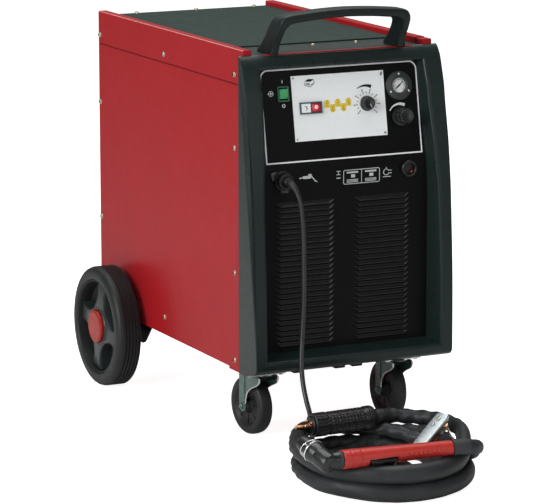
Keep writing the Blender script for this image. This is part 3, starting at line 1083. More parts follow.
# ----------------------------------------------------------- rear wheels
WHEEL_R, WHEEL_Y = 0.132, 0.609
for side, sx in (("left", -1), ("right", 1)):
    m = sideways((sx * 0.259, WHEEL_Y, WHEEL_R), sx)
    body = "rear_wheel_" + side
    hw = 0.028
    prof = [(0.1038, 0.0235), (0.1046, 0.0262), (0.1068, 0.0276), (0.1100, 0.0280), (0.1160, 0.0279), (0.1215, 0.0272),
            (0.1255, 0.0256), (0.1285, 0.0232), (0.1303, 0.0204), (0.1312, 0.0172), (0.1318, 0.0145)]
    # grooves over the tread
    z = 0.0150
    for k in range(5):
        prof += [(0.1320, z), (0.1322, z - 0.0038), (0.1312, z - 0.0043), (0.1295, z - 0.0048), (0.1295, z - 0.0066),
                 (0.1312, z - 0.0071), (0.1321, z - 0.0075)]
        z -= 0.0076
    prof += [(0.1316, -0.0236), (0.1300, -0.0256), (0.1262, -0.0272), (0.1200, -0.0279), (0.1120, -0.0280),
             (0.1068, -0.0272), (0.1042, -0.0250), (0.1038, -0.0225)]
    bm = bmesh.new()
    add_spin(bm, prof, 144, m, ring=True)
    from_bm(bm, "tyre_tread_" + side, TYRE, body=body, sharp=50, gone=("tyre_" + side,))
    bm = bmesh.new()
    # barrel with lips, then the web set deep inside
    add_spin(bm, [(0.1036, 0.0228), (0.1032, 0.0248), (0.1018, 0.0256), (0.1002, 0.0250), (0.0992, 0.0225), (0.0975, 0.0050),
                  (0.0960, -0.0010), (0.0920, -0.0036), (0.0500, -0.0040), (0.0106, -0.0040), (0.0106, -0.0120),
                  (0.0560, -0.0100), (0.0920, -0.0110), (0.0960, -0.0150), (0.0992, -0.0225), (0.1010, -0.0250),
                  (0.1036, -0.0236)], 144, m, ring=True)
    from_bm(bm, "wheel_barrel_" + side, BARREL, body=body, sharp=38, gone=("rim_" + side,))
    # four-armed plate between four round pockets
    bm = bmesh.new()
    POC_R, POC, RIM_R = 0.1000, 0.0535, 0.0966
    edge_a = math.degrees(math.acos((RIM_R ** 2 + POC_R ** 2 - POC ** 2) / (2 * RIM_R * POC_R)))
    line = []
    for q in range(4):
        tip = 80.0 + 90.0 * q
        mid = tip + 45.0
        for k in range(7):                                   # half of the arm's end on the rim
            a = math.radians(tip + (45.0 - edge_a) * k / 7)
            line.append((Vector((RIM_R * math.cos(a), RIM_R * math.sin(a))), Vector((math.cos(a), math.sin(a))), a))
        pc = Vector((POC_R * math.cos(math.radians(mid)), POC_R * math.sin(math.radians(mid))))
        start = Vector((RIM_R * math.cos(math.radians(mid - edge_a)), RIM_R * math.sin(math.radians(mid - edge_a)))) - pc
        stop = Vector((RIM_R * math.cos(math.radians(mid + edge_a)), RIM_R * math.sin(math.radians(mid + edge_a)))) - pc
        a0, a1 = math.atan2(start.y, start.x), math.atan2(stop.y, stop.x)
        while a1 > a0:
            a1 -= 2 * math.pi
        for k in range(33):
            a = a0 + (a1 - a0) * k / 32
            d = Vector((math.cos(a), math.sin(a)))
            line.append((pc + d * POC, -d, math.radians(mid - edge_a + 2 * edge_a * k / 32)))
        for k in range(1, 8):
            a = math.radians(mid + edge_a + (45.0 - edge_a) * k / 8)
            line.append((Vector((RIM_R * math.cos(a), RIM_R * math.sin(a))), Vector((math.cos(a), math.sin(a))), a))
    rows = []
    for h, grow in ((-0.0040, 0.0012), (0.0110, 0.0006), (0.0172, 0.0), (0.0190, -0.0008), (0.0199, -0.0026)):
        rows.append([m @ Vector((*(p + n_ * (grow if p.length < RIM_R - 0.0005 else min(grow, 0.0))),
                                 h - 0.0022 * smoothstep(0.060, 0.096, p.length) * (h > 0))) for p, n_, a in line])
    vs = add_loft(bm, rows, cap=False)
    previous = vs[-1]
    for rr, hh in ((0.0420, 0.0206), (0.0405, 0.0224), (0.0385, 0.0224), (0.0376, 0.0212)):
        ring_ = [bm.verts.new(m @ Vector((rr * math.cos(a), rr * math.sin(a), hh))) for p, n_, a in line]
        for k in range(len(line)):
            q = (k + 1) % len(line)
            bm.faces.new((previous[k], previous[q], ring_[q], ring_[k]))
        previous = ring_
    bm.faces.new(previous)
    from_bm(bm, "wheel_star_" + side, RIMP, body=body, sharp=34)
    bm = bmesh.new()
    add_spin(bm, [(0.0370, 0.0214), (0.0374, 0.0262), (0.0366, 0.0284), (0.0340, 0.0300), (0.0320, 0.0306), (0.0300, 0.0306),
                  (0.0290, 0.0302), (0.0150, 0.0308), (0, 0.0310)], 12, m @ Matrix.Rotation(math.radians(10), 4, "Z"))
    from_bm(bm, "hub_cover_" + side, CAPR, body=body, sharp=18, gone=("hub_cap_" + side,))
    # axle bracket
    lo, hi = (0.2000, 0.2040) if sx > 0 else (-0.2040, -0.2000)
    outline = [(0.4850, 0.1501), (0.5230, 0.1095), (0.5290, 0.1045), (0.5380, 0.1008), (0.5900, 0.1000), (0.6330, 0.1000),
               (0.6430, 0.1012), (0.6530, 0.1070), (0.7200, 0.1501)]
    bm = bmesh.new()
    add_outline(bm, outline, lo, hi, YZ, 0.0008, 2)
    from_bm(bm, "axle_plate_" + side, PLASTIC, gone=("axle_bracket_" + side,))

# --------------------------------------------------------------- casters
CR, CX, CY, TRAIL = 0.0617, 0.158, 0.038, 0.035
for side, sx in (("left", -1), ("right", 1)):
    turn = math.radians(7.0) if side == "left" else 0.0
    base = Vector((sx * CX, CY, 0))
    SWM = Matrix.Translation(base) @ Matrix.Rotation(turn, 4, "Z")
    # fixed plate with four bolts
    bm = bmesh.new()
    add_box(bm, (base.x - 0.042, base.y - 0.032, 0.1370), (base.x + 0.042, base.y + 0.040, 0.1406), I4, 0.0012, 2)
    for ax in (-0.033, 0.033):
        for ay in (-0.024, 0.032):
            mm = Matrix.Translation((base.x + ax, base.y + ay, 0.1370)) @ Matrix.Rotation(math.pi, 4, "X")
            add_spin(bm, [(0.0058, -0.0002), (0.0058, 0.0019), (0.0050, 0.0025), (0, 0.0025)], 6, mm)
    add_spin(bm, [(0.0290, 0.1372), (0.0300, 0.1366), (0.0300, 0.1352), (0.0285, 0.1346), (0, 0.1346)], 64,
             Matrix.Translation((base.x, base.y, 0)))
    from_bm(bm, "caster_top_plate_" + side, ZINC, sharp=35, gone=("caster_plate_" + side,))
    # fork
    sm = SWM @ YZ
    legs = [(0.0335, 0.1340), (0.0390, 0.1305), (0.0432, 0.1240), (0.0455, 0.1150), (0.0465, 0.1000), (0.0465, 0.0700)]
    for k in range(0, 10):
        a = math.radians(10 - 19 * k)
        legs.append((TRAIL + 0.0122 * math.cos(a), CR + 0.0122 * math.sin(a)))
    legs += [(0.0226, 0.0690), (0.0222, 0.0760), (0.0205, 0.0840), (0.0165, 0.0920), (0.0100, 0.0992), (0.0010, 0.1052),
             (-0.0090, 0.1100), (-0.0190, 0.1145), (-0.0260, 0.1190), (-0.0300, 0.1250), (-0.0300, 0.1310),
             (-0.0270, 0.1340)]
    bm = bmesh.new()
    bml = bmesh.new()
    for s in (-1, 1):
        a, b = (0.0205, 0.0235) if s > 0 else (-0.0235, -0.0205)
        add_outline(bm, legs, a, b, sm, 0.0007, 2)
        # pressed rib down the leg
        rib = rrect(0.0245, 0.0690, 0.0440, 0.1335, 0.0050, 5)
        c, d = (0.0228, 0.0252) if s > 0 else (-0.0252, -0.0228)
        add_outline(bm, rib, c, d, sm, 0.0011, 3)
        # rolled front lip
        lip = [Vector((p, q, 0)) for p, q in legs[16:-1]]
        pts = [sm @ Vector((p.x, p.y, s * 0.0226)) for p in spline(lip, 0.004)]
        add_tube(bml, pts, 0.0019, 12)
    from_bm(bml, "caster_yoke_edge_" + side, ZINC, body="caster_" + side, sharp=60)
    # bridge and the pressed crown
    rows = []
    for k in range(15):
        a = math.pi * k / 14
        x = 0.0235 * math.cos(a)
        rise = 0.1290 + 0.0046 * math.sin(a) ** 0.6
        rows.append([sm @ Vector((y, rise - (0.0045 if abs(y - 0.002) > 0.028 else 0.0), x))
                     for y in (-0.0300, -0.0275, -0.0180, 0.0, 0.0180, 0.0320, 0.0400)])
    add_sheet(bm, rows)
    rows2 = [[v - Vector((0, 0, 0.0028)) for v in r] for r in rows]
    add_sheet(bm, rows2)
    add_spin(bm, [(0.0230, 0.1290), (0.0262, 0.1312), (0.0275, 0.1326), (0.0275, 0.1336), (0, 0.1338)], 64, SWM)
    from_bm(bm, "caster_yoke_" + side, GALV, body="caster_" + side, sharp=38, gone=("caster_fork_" + side,))
    # axle bolt with its nut and sleeve
    ax = SWM @ sideways((0, TRAIL, CR), 1)
    bm = bmesh.new()
    for s in (-1, 1):
        mm = ax if s > 0 else ax @ Matrix.Rotation(math.pi, 4, "X")
        add_spin(bm, [(0.0088, 0.0236), (0.0088, 0.0244), (0.0082, 0.0248), (0, 0.0248)], 40, mm)
        add_spin(bm, [(0.0064, 0.0246), (0.0064, 0.0282), (0.0055, 0.0290), (0.0040, 0.0291), (0.0038, 0.0299), (0, 0.0302)], 6, mm)
    add_spin(bm, [(0, 0.0236), (0.0058, 0.0236), (0.0058, -0.0236), (0, -0.0236)], 32, ax)
    from_bm(bm, "caster_bolt_" + side, GALV, body="caster_" + side, sharp=30, gone=("caster_axle_" + side,))
    # wheel
    prof = [(0.0066, 0.0185), (0.0128, 0.0185), (0.0140, 0.0176), (0.0146, 0.0130), (0.0175, 0.0088), (0.0370, 0.0082),
            (0.0408, 0.0104), (0.0424, 0.0142), (0.0442, 0.0152), (0.0470, 0.0156), (0.0520, 0.0157), (0.0556, 0.0150),
            (0.0584, 0.0134), (0.0601, 0.0110), (0.0607, 0.0094), (0.0611, 0.0072), (0.0615, 0.0050), (0.0617, 0.0022)]
    prof = prof + [(r, -h) for r, h in reversed(prof)]
    bm = bmesh.new()
    add_spin(bm, prof, 120, ax, ring=True)
    for s in (-1, 1):
        for k in range(8):
            rm = ax @ Matrix.Rotation(2 * math.pi * k / 8, 4, "Z")
            h0, h1 = (0.0078, 0.0100) if s > 0 else (-0.0100, -0.0078)
            add_box(bm, (0.0150, -0.0014, h0), (0.0400, 0.0014, h1), rm, 0.0005, 1)
    from_bm(bm, "caster_tread_" + side, TYRE, body="caster_wheel_%s_body" % side, sharp=45,
            gone=("caster_wheel_" + side,))

# ------------------------------------------------------------- connector
con = along(CON_A, CON_B)
L = (CON_B - CON_A).length
bm = bmesh.new()


def grip(i, j, r, z):
    """Rows of raised rectangular blocks."""
    if 0.0380 <= z <= L - 0.0310:
        u = (i / 176.0 * 22) % 1.0
        w = ((z - 0.0380) / 0.0076) % 1.0
        up = smoothstep(0.14, 0.26, u) * (1 - smoothstep(0.74, 0.86, u))
        up *= smoothstep(0.10, 0.22, w) * (1 - smoothstep(0.78, 0.90, w))
        return r + 0.0011 * up
    return r


prof = [(0, -0.0040), (0.0062, -0.0040), (0.0070, -0.0034), (0.0156, -0.0034), (0.0165, -0.0030), (0.0180, -0.0018),
        (0.0181, 0.0006), (0.0182, 0.0322), (0.0216, 0.0326), (0.0226, 0.0332), (0.0231, 0.0346)]
z = 0.0370
while z < L - 0.0300:
    prof.append((0.0226, z))
    z += 0.0009
prof += [(0.0230, L - 0.0290), (0.0232, L - 0.0264), (0.0237, L - 0.0250), (0.0245, L - 0.0238), (0.0247, L - 0.0210),
         (0.0241, L - 0.0200), (0.0240, L - 0.0188), (0.0247, L - 0.0178), (0.0248, L - 0.0114), (0.0242, L - 0.0090),
         (0.0230, L - 0.0068), (0.0182, L - 0.0046), (0.0174, L - 0.0012), (0.0165, L), (0, L)]
add_spin(bm, prof, 176, con, grip)
conn_shell = from_bm(bm, "connector_shell", CONN, sharp=34, gone=("connector_body",))
bm = bmesh.new()
prof = [(0.0192, 0.0012), (0.0228, 0.0012), (0.0238, 0.0020)]
prof += [(0.0243, 0.0032 + 0.0268 * k / 20) for k in range(21)]
prof += [(0.0238, 0.0310), (0.0228, 0.0317), (0.0192, 0.0317)]
add_spin(bm, prof, 180, con,
         lambda i, j, r, z: r - (0.0015 * smoothstep(0.1, 0.7, math.cos(2 * math.pi * i / 180 * 20)) if 0.0040 < z < 0.0290 else 0.0),
         ring=True)
conn_ring = from_bm(bm, "connector_collar", CONN, body="connector_ring_body", sharp=40,
                    gone=("connector_ring",))
bm = bmesh.new()
for px, py, rr, l in ((0.0, 0.0, 0.0040, 0.0360), (0.0095, 0.0075, 0.0020, 0.0090), (-0.0095, 0.0075, 0.0020, 0.0090)):
    pm = con @ Matrix.Translation((px, py, 0)) @ Matrix.Rotation(math.pi, 4, "X")
    add_spin(bm, [(rr * 1.4, 0.0030), (rr * 1.4, 0.0052), (rr, 0.0058), (rr, l * 0.42), (rr * 0.82, l * 0.44),
                  (rr * 0.82, l * 0.50), (rr, l * 0.52), (rr, l - 0.0014), (rr * 0.84, l - 0.0004),
                  (0, l)], 36, pm)
conn_pins = from_bm(bm, "connector_pins", COPPER, sharp=40)

# ----------------------------------------------------------------- torch
tor = along(TORCH_R, TORCH_L)
TL = (TORCH_L - TORCH_R).length
trig_dir = (tor.inverted() @ (Vector(TORCH_R) + Vector((0.0, -0.80, -0.60)))).normalized()
tm = tor @ Matrix.Rotation(math.atan2(trig_dir.y, trig_dir.x), 4, "Z")
RADII = [(0.0, 0.0138), (0.0020, 0.0147), (0.0120, 0.0150), (0.0400, 0.0154), (0.0700, 0.0160), (0.1000, 0.0165),
         (0.1200, 0.0170), (0.1500, 0.0176), (0.1760, 0.0180), (0.2000, 0.0186), (0.2130, 0.0188), (TL - 0.0030, 0.0188),
         (TL - 0.0008, 0.0180), (TL, 0.0168)]
NSEG, NR = 200, 96
rings = []
for i in range(NSEG + 1):
    z = TL * i / NSEG
    base_r = lerp_table(RADII, z)
    if abs(z - 0.1930) < 0.0016 or abs(z - 0.2150) < 0.0012:
        base_r -= 0.0006
    ring = []
    for j in range(NR):
        a = 2 * math.pi * j / NR
        x, y = math.cos(a), math.sin(a)
        r = base_r
        # the trigger's slot on the +X side of the local frame
        half = 0.0078
        if 0.1180 < z < 0.1800 and x > 0 and abs(r * y) < half + 0.0012:
            lead = min(z - 0.1180, 0.1800 - z)
            deepen = 0.0105 * smoothstep(0.0, 0.0050, lead) * (1.0 - smoothstep(half, half + 0.0012, abs(r * y)))
            r = r - deepen
        # grip dimples in a row
        if 0.0160 < z < 0.1020:
            for row, amp in ((0.62, 1.0), (-2.35, 1.0)):
                da = (a - row + math.pi) % (2 * math.pi) - math.pi
                u = ((z - 0.0160) % 0.0098) / 0.0098 - 0.5
                d2 = (u * 0.0098 / 0.0034) ** 2 + (da * 0.016 / 0.0040) ** 2
                if d2 < 1.0:
                    r += 0.0015 * (1 - d2) ** 0.7 * amp
        ring.append(tm @ Vector((r * x, r * y, z)))
    rings.append(ring)
bm = bmesh.new()
add_loft(bm, rings)
torch_grip = from_bm(bm, "torch_grip", TORCH, sharp=42, gone=("torch_handle",))

trig = [(0.0060, 0.1215), (0.0165, 0.1215), (0.0195, 0.1235), (0.0218, 0.1280), (0.0226, 0.1330), (0.0214, 0.1400),
        (0.0210, 0.1450), (0.0222, 0.1510), (0.0234, 0.1560), (0.0230, 0.1620), (0.0214, 0.1690), (0.0190, 0.1745),
        (0.0160, 0.1770), (0.0060, 0.1770)]
hinge_at = tm @ Vector((0.0120, 0, 0.1760))
trm = mat4(hinge_at, tm.col[0].to_3d(), tm.col[2].to_3d(), -tm.col[1].to_3d())
bm = bmesh.new()
add_outline(bm, [(a - 0.0120, b - 0.1760) for a, b in trig], -0.0068, 0.0068, trm, 0.0014, 3)
torch_lever = from_bm(bm, "torch_lever", PLASTIC, body="torch_trigger_body", sharp=50,
                      gone=("torch_trigger",))

HEAD_AX = Vector((-0.2300, 0.9150, 0.3310)).normalized()
head_c = TORCH_L + TORCH_D * 0.0330
head_a = head_c - HEAD_AX * 0.0170
head_b = head_c + HEAD_AX * 0.0830
hm = along(head_a, head_b)
bm = bmesh.new()
add_spin(bm, [(0, 0.0016), (0.0048, 0.0016), (0.0056, 0.0004), (0.0118, 0.0000), (0.0160, 0.0010), (0.0186, 0.0036),
              (0.0197, 0.0080), (0.0201, 0.0180), (0.0202, 0.0330), (0.0199, 0.0352), (0.0196, 0.0362), (0.0200, 0.0374),
              (0.0204, 0.0440), (0.0211, 0.0470), (0.0213, 0.0540), (0.0206, 0.0580), (0.0199, 0.0672), (0.0188, 0.0694),
              (0, 0.0696)], 96, hm)
# neck: collar, pale ring seat, elbow root
add_spin(bm, [(0, TL + 0.0300), (0.0158, TL + 0.0300), (0.0166, TL + 0.0110), (0.0172, TL + 0.0090), (0.0172, TL + 0.0015),
              (0.0164, TL + 0.0003), (0, TL + 0.0003)], 72, tor)
torch_top = from_bm(bm, "torch_elbow", HEADP, sharp=40, gone=("torch_head",))
bm = bmesh.new()
add_spin(bm, [(0.0180, 0.0680), (0.0174, 0.0760), (0.0160, 0.0850), (0.0150, 0.0892), (0.0120, 0.0912), (0.0086, 0.0944),
              (0.0063, 0.0972), (0.0046, 0.0994), (0.0016, 0.0998), (0.0013, 0.0960), (0, 0.0955)], 64, hm)
torch_nozzle = from_bm(bm, "torch_nozzle", HEADP, sharp=40)
bm = bmesh.new()


side_v = hm.inverted().to_3x3() @ Vector((0.897, -0.4415, 0.0))
MEET = math.atan2(side_v.y, side_v.x)


def ring_pts(r, h, tilt=0.0, flare=0.0, n=72):
    out = []
    for k in range(n):
        a = 2 * math.pi * k / n
        c = math.cos(a - MEET)
        rr = r + flare * c
        out.append(hm @ Vector((rr * math.cos(a), rr * math.sin(a), h - tilt * c)))
    return out


def add_hoop(bm, pts, radius, sides=10):
    """A closed wire through the points."""
    n = len(pts)
    c = sum(pts, Vector()) / n
    rings = []
    for i in range(n):
        t = (pts[(i + 1) % n] - pts[i - 1]).normalized()
        s = (pts[i] - c).normalized()
        s = (s - t * s.dot(t)).normalized()
        o = t.cross(s)
        rings.append([pts[i] + s * (radius * math.cos(2 * math.pi * j / sides)) + o * (radius * math.sin(2 * math.pi * j / sides))
                      for j in range(sides)])
    add_loft(bm, rings, closed=True, cap=False)


add_hoop(bm, ring_pts(0.0216, 0.0560), 0.0015)
add_hoop(bm, ring_pts(0.0203, 0.0640, 0.0065, 0.0010), 0.0013)
for da in (MEET + 2.2, MEET + math.pi, MEET - 2.2):
    c = math.cos(da - MEET)
    add_tube(bm, [hm @ Vector((0.0216 * math.cos(da), 0.0216 * math.sin(da), 0.0560)),
                  hm @ Vector((0.0209 * math.cos(da), 0.0209 * math.sin(da), 0.0600 - 0.0030 * c)),
                  hm @ Vector(((0.0203 + 0.0010 * c) * math.cos(da), (0.0203 + 0.0010 * c) * math.sin(da), 0.0640 - 0.0065 * c))],
             0.0012, 10)
torch_guide = from_bm(bm, "torch_stand_off", BRIGHT, sharp=60)
bm = bmesh.new()
add_spin(bm, [(0.0168, TL + 0.0088), (0.0178, TL + 0.0084), (0.0180, TL + 0.0030), (0.0170, TL + 0.0026)], 72, tor, ring=True)
torch_band = from_bm(bm, "torch_band", SLEEVE, sharp=50)
# rear sleeve over the hose
tail = [p for p in hose_pts if (p - TORCH_R).length < 0.034][::-1]
tail = tail[:6]
bm = bmesh.new()
add_tube(bm, tail, lambda k: 0.0162 if k < 2 else (0.0152 if k == 2 else 0.0159), 40)
torch_sleeve = from_bm(bm, "torch_sleeve", SLEEVE, sharp=60)

# ----------------------------------------------------------------- clamp
cu_ = (CL_B - CL_A).normalized()
face = Vector((-0.494, -0.297, 0.817))
cmn = (face - cu_ * face.dot(cu_)).normalized()
cv = cmn.cross(cu_).normalized()
clamp = mat4(CL_A, cu_, cv, cmn)
clen = (CL_B - CL_A).length
bm = bmesh.new()
rows = []
for k in range(25):
    x = clen * k / 24
    wide = 0.0145 if x > 0.014 else 0.0112 + 0.0033 * smoothstep(0.0, 0.014, x)
    if x > clen - 0.010:
        wide -= 0.0022 * smoothstep(clen - 0.010, clen, x)
    sec = [(-wide, -0.0058), (-wide, -0.0016), (-wide + 0.0012, -0.0003), (-wide + 0.0030, 0.0), (wide - 0.0030, 0.0),
           (wide - 0.0012, -0.0003), (wide, -0.0016), (wide, -0.0058)]
    sec2 = [(wide - 0.0014, -0.0058), (wide - 0.0014, -0.0024), (wide - 0.0034, -0.0014), (-wide + 0.0034, -0.0014),
            (-wide + 0.0014, -0.0024), (-wide + 0.0014, -0.0058)]
    rows.append([clamp @ Vector((x, a, b)) for a, b in sec + sec2])
add_loft(bm, rows)
add_box(bm, (clen - 0.0016, -0.0115, -0.0075), (clen, 0.0115, -0.0004), clamp, 0.0006, 2)
# pressed oval near the hinge end, a long pressed rib, and two rivets
for x, y, rx, ry in ((clen - 0.0155, 0.0010, 0.0075, 0.0042),):
    add_spin(bm, [(1.0, -0.0004), (0.94, 0.0006), (0.72, 0.0014), (0, 0.0016)], 40,
             clamp @ Matrix.Translation((x, y, 0)) @ Matrix.Diagonal((rx, ry, 1.0, 1.0)))
for x, y in ((clen - 0.0330, 0.0030), (0.0085, 0.0)):
    add_spin(bm, [(0.0040, -0.0004), (0.0038, 0.0008), (0.0028, 0.0018), (0, 0.0021)], 36, clamp @ Matrix.Translation((x, y, 0)))
# folded flanges down both edges and the hinge ears
for s in (-1, 1):
    a, b = (0.0133, 0.0148) if s > 0 else (-0.0148, -0.0133)
    add_box(bm, (0.0140, a, -0.0082), (clen - 0.0060, b, -0.0022), clamp, 0.0005, 2)
    a, b = (0.0127, 0.0145) if s > 0 else (-0.0145, -0.0127)
    add_outline(bm, [(0.0540, -0.0010), (0.0540, -0.0160), (0.0570, -0.0210), (0.0620, -0.0225), (0.0670, -0.0210),
                     (0.0700, -0.0160), (0.0700, -0.0010)], -b, -a, clamp @ Matrix.Rotation(math.pi / 2, 4, "X"), 0.0005, 2)
    pin = clamp @ Matrix.Translation((0.0620, 0, -0.0190)) @ Matrix.Rotation(-s * math.pi / 2, 4, "X")
    add_spin(bm, [(0.0036, 0.0140), (0.0036, 0.0152), (0.0026, 0.0160), (0, 0.0162)], 28, pin)
clamp_up = from_bm(bm, "clamp_upper_arm", STEEL, sharp=35, gone=("clamp_arm_upper",))
low = clamp @ Matrix.Translation((0.062, 0, -0.0190)) @ Matrix.Rotation(math.radians(2), 4, "Y")
bm = bmesh.new()
jaw = [(-0.0600, -0.0090), (-0.0540, -0.0115), (0.0150, -0.0115), (0.0270, -0.0095), (0.0300, -0.0060), (0.0300, 0.0060),
       (0.0270, 0.0095), (0.0150, 0.0115), (-0.0540, 0.0115), (-0.0600, 0.0090)]
add_outline(bm, jaw, -0.0060, -0.0012, low, 0.0010, 3)
for k in range(6):
    add_box(bm, (-0.0570 + k * 0.0052, -0.0100, -0.0014), (-0.0542 + k * 0.0052, 0.0100, -0.0002), low, 0.0004, 1)
clamp_low = from_bm(bm, "clamp_lower_arm", COPPER, body="clamp_lower_body", sharp=35,
                    gone=("clamp_arm_lower",))
bm = bmesh.new()
helix = []
for k in range(24 * 5 + 1):
    a = 2 * math.pi * k / 24
    helix.append(clamp @ Matrix.Translation((0.0620, 0, -0.0190)) @ Vector((0.0050 * math.cos(a), -0.0095 + 0.0190 * k / (24 * 5),
                                                                            0.0050 * math.sin(a))))
add_tube(bm, helix, 0.0011, 8)
clamp_spring = from_bm(bm, "clamp_spring", BRIGHT, sharp=60)
bm = bmesh.new()
LEV = [CL_B + cmn * -0.0160 + cu_ * -0.0220, CL_B + cmn * -0.0200 + cu_ * -0.0080, (0.0490, -0.3960, 0.0810),
       (0.0590, -0.4165, 0.0720)]
lp = spline(LEV, 0.004)
add_tube(bm, lp, lambda k: 0.0026 + 0.0020 * smoothstep(0.45, 0.95, k / (len(lp) - 1)), 16)
clamp_handle = from_bm(bm, "clamp_lever", BRIGHT, sharp=60)

# ---------------------------------------------------------------- screws
heads = bmesh.new()
slots_ = bmesh.new()


def screw(m, r=0.0048, cross=True, seed=0.0):
    add_spin(heads, [(r * 1.16, 0.0), (r * 1.18, r * 0.10), (r * 1.03, r * 0.16), (r, r * 0.22), (r * 0.95, r * 0.48),
                     (r * 0.80, r * 0.70), (r * 0.52, r * 0.82), (0, r * 0.88)], 28, m)
    if cross:
        mm = m @ Matrix.Rotation(seed, 4, "Z")
        w, l_ = r * 0.15, r * 0.56
        add_box(slots_, (-l_, -w, r * 0.60), (l_, w, r * 0.90), mm)
        add_box(slots_, (-w, -l_, r * 0.60), (w, l_, r * 0.90), mm)


k = 0
for sx in (-1, 1):
    for y, z in ((0.040, 0.759), (0.040, 0.609), (0.040, 0.351), (0.040, 0.168), (0.730, 0.760), (0.730, 0.611),
                 (0.730, 0.353), (0.730, 0.170), (0.388, 0.758), (0.392, 0.189)):
        k += 1
        screw(sideways((sx * 0.2150, y, z), sx), 0.0050, True, k * 0.9)
top = Matrix.Identity(4)
for x, y in ((-0.108, 0.100), (-0.008, 0.100), (0.092, 0.100)):
    k += 1
    screw(Matrix.Translation((x, y, 0.8000)), 0.0042, True, k * 0.7)
for x in (-0.127, 0.018, 0.161):
    k += 1
    screw(Matrix.Translation((x, 0.7300, 0.8026)), 0.0046, True, k * 0.5)
back = lambda x, z: mat4((x, 0.7391, z), (-1, 0, 0), (0, 0, 1), (0, 1, 0))
for x, z in ((-0.195, 0.780), (0.195, 0.780), (-0.195, 0.480), (0.195, 0.480), (-0.195, 0.170), (0.195, 0.170), (0, 0.780)):
    k += 1
    screw(back(x, z), 0.0046, True, k * 0.8)
for x, s in ((-0.1055, 0.0460), (0.0965, 0.0460), (-0.1055, 0.1700), (0.0965, 0.1700)):
    k += 1
    screw(control(x, s, 0.0013), 0.0017, True, k * 0.6)
from_bm(heads, "screw_heads", NICKEL, sharp=50)
from_bm(slots_, "screw_crosses", HOLLOW, smooth=False)
bm = bmesh.new()
for a in (90, 210, 330):
    r = 0.0240
    mm = control(0.1345 + r * math.cos(math.radians(a)), 0.1408 + r * math.sin(math.radians(a)), 0.0058)
    add_spin(bm, [(0.0024, 0.0), (0.0024, 0.0007), (0.0018, 0.0013), (0, 0.0015)], 24, mm)
from_bm(bm, "gauge_screws", BRIGHT, sharp=40)

# ------------------------------------------------------------- rear side
GRILL = mat4((0, 0.7391, 0.560), (-1, 0, 0), (0, 0, 1), (0, 1, 0))
bm = bmesh.new()
for r in (0.018, 0.034, 0.050, 0.066, 0.082, 0.0965):
    pts = [GRILL @ Vector((r * math.cos(2 * math.pi * q / 72), r * math.sin(2 * math.pi * q / 72),
                           0.0045 + 0.0050 * (1 - (r / 0.0965) ** 2))) for q in range(72)]
    add_hoop(bm, pts, 0.0012, 8)
for a in (45, 135, 225, 315):
    ca, sa = math.cos(math.radians(a)), math.sin(math.radians(a))
    pts = [GRILL @ Vector((r * ca, r * sa, 0.0068 + 0.0050 * (1 - (r / 0.0965) ** 2))) for r in (0.010, 0.030, 0.050, 0.070, 0.0965)]
    pts += [GRILL @ Vector((0.1080 * ca, 0.1080 * sa, 0.0020))]
    add_tube(bm, pts, 0.0014, 8)
    add_hoop(bm, [GRILL @ (Vector((0.1110 * ca, 0.1110 * sa, 0.0016)) + Vector((0.0042 * math.cos(q / 24 * 2 * math.pi),
                  0.0042 * math.sin(q / 24 * 2 * math.pi), 0))) for q in range(24)], 0.0013, 8)
from_bm(bm, "fan_guard", BRIGHT, sharp=60)
AI = mat4((0.150, 0.7391, 0.470), (1, 0, 0), (0, 0, -1), (0, 1, 0))
bm = bmesh.new()
add_spin(bm, [(0.0180, 0.0003), (0.0180, 0.0062), (0.0172, 0.0070), (0, 0.0070)], 6, AI)
add_spin(bm, [(0.0125, 0.0068), (0.0125, 0.0172), (0.0118, 0.0180), (0.0062, 0.0182), (0.0052, 0.0200), (0.0052, 0.0226),
              (0.0064, 0.0232), (0.0050, 0.0284), (0.0064, 0.0290), (0.0050, 0.0342), (0.0064, 0.0348), (0.0050, 0.0410),
              (0.0044, 0.0430), (0.0030, 0.0432), (0.0028, 0.0380), (0, 0.0380)], 48, AI)
from_bm(bm, "air_barb", BRASS, sharp=35, gone=("air_inlet",))
MG = mat4((-0.150, 0.7391, 0.470), (1, 0, 0), (0, 0, -1), (0, 1, 0))
bm = bmesh.new()
add_spin(bm, [(0.0210, 0.0003), (0.0210, 0.0046), (0.0200, 0.0056), (0, 0.0058)], 6, MG)
add_spin(bm, [(0.0176, 0.0050), (0.0178, 0.0080), (0.0176, 0.0132), (0.0150, 0.0142), (0.0136, 0.0220), (0.0118, 0.0310),
              (0.0096, 0.0336), (0.0072, 0.0338), (0.0070, 0.0280), (0, 0.0278)], 120, MG,
         lambda i, j, r, z: r - (0.0010 * (0.5 + 0.5 * math.cos(2 * math.pi * i / 120 * 20)) if 0.006 < z < 0.0134 else 0.0))
from_bm(bm, "mains_nut", PLASTIC, sharp=40, gone=("mains_gland",))
pick(["fan_housing"], PLASTIC)
pick(["fan_rotor"], KNOB)

# vertical folds of the rear panel and the tray's turned-up lip
bm = bmesh.new()
add_box(bm, (-0.2140, 0.7392, 0.1510), (-0.2080, 0.7404, 0.7980), I4, 0.0004, 1)
add_box(bm, (0.2080, 0.7392, 0.1510), (0.2140, 0.7404, 0.7980), I4, 0.0004, 1)
from_bm(bm, "rear_edge_folds", RED)

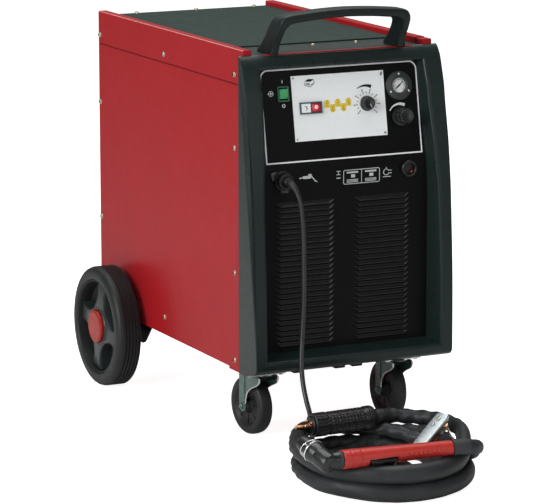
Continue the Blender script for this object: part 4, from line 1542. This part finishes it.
# ------------------------------------------------------- floor and light
bm = bmesh.new()
add_sheet(bm, [[Vector((-9, -9, 0)), Vector((-9, 12, 0))], [Vector((9, -9, 0)), Vector((9, 12, 0))]])
me = bpy.data.meshes.new("floor")
bm.to_mesh(me)
bm.free()
floor = bpy.data.objects.new("floor", me)
scene.collection.objects.link(floor)
FLOOR = material("pale_floor", (0.80, 0.80, 0.80), 0.8, vary=0.004, fine=0.004, bump=0.0, spec=0.05)
ft = FLOOR.node_tree
glow = ft.nodes.new("ShaderNodeEmission")
glow.inputs["Color"].default_value = (1.0, 1.0, 1.0, 1.0)
glow.inputs["Strength"].default_value = 0.90
both = ft.nodes.new("ShaderNodeAddShader")
pick_ = ft.nodes.new("ShaderNodeMixShader")
ray = ft.nodes.new("ShaderNodeLightPath")
diffuse = ft.nodes["Principled BSDF"].outputs["BSDF"]
ft.links.new(diffuse, both.inputs[0])
ft.links.new(glow.outputs["Emission"], both.inputs[1])
ft.links.new(ray.outputs["Is Camera Ray"], pick_.inputs["Fac"])
ft.links.new(diffuse, pick_.inputs[1])
ft.links.new(both.outputs["Shader"], pick_.inputs[2])
ft.links.new(pick_.outputs["Shader"], ft.nodes["Material Output"].inputs["Surface"])
me.materials.append(FLOOR)

world = bpy.data.worlds.new("studio")
scene.world = world
world.use_nodes = True
nt = world.node_tree
bg = nt.nodes["Background"]
bg.inputs["Color"].default_value = (1.0, 1.0, 1.0, 1.0)
bg.inputs["Strength"].default_value = 0.20
bright = nt.nodes.new("ShaderNodeBackground")
bright.inputs["Color"].default_value = (1.0, 1.0, 1.0, 1.0)
bright.inputs["Strength"].default_value = 1.0
lp_ = nt.nodes.new("ShaderNodeLightPath")
mixs = nt.nodes.new("ShaderNodeMixShader")
nt.links.new(lp_.outputs["Is Camera Ray"], mixs.inputs["Fac"])
nt.links.new(bg.outputs["Background"], mixs.inputs[1])
nt.links.new(bright.outputs["Background"], mixs.inputs[2])
nt.links.new(mixs.outputs["Shader"], nt.nodes["World Output"].inputs["Surface"])


def area(name, at_, to, size, power, rgb=(1, 1, 1)):
    d = bpy.data.lights.new(name, "AREA")
    d.shape = "RECTANGLE"
    d.size, d.size_y = size
    d.energy = power
    d.color = rgb
    o = bpy.data.objects.new(name, d)
    o.location = at_
    o.rotation_euler = (Vector(to) - Vector(at_)).to_track_quat("-Z", "Y").to_euler()
    scene.collection.objects.link(o)
    return o


area("left_softbox", (-4.2, -1.8, 2.2), (0, -0.1, 0.45), (2.6, 2.6), 150)
area("top_softbox", (0.2, 0.2, 3.6), (0, -0.1, 0.4), (3.0, 3.0), 95)
area("front_fill", (0.8, -5.0, 1.6), (0, -0.3, 0.4), (2.0, 2.0), 22)
area("floor_wash", (0.0, 3.5, 3.5), (0, 2.0, 0.0), (6.0, 3.0), 25)
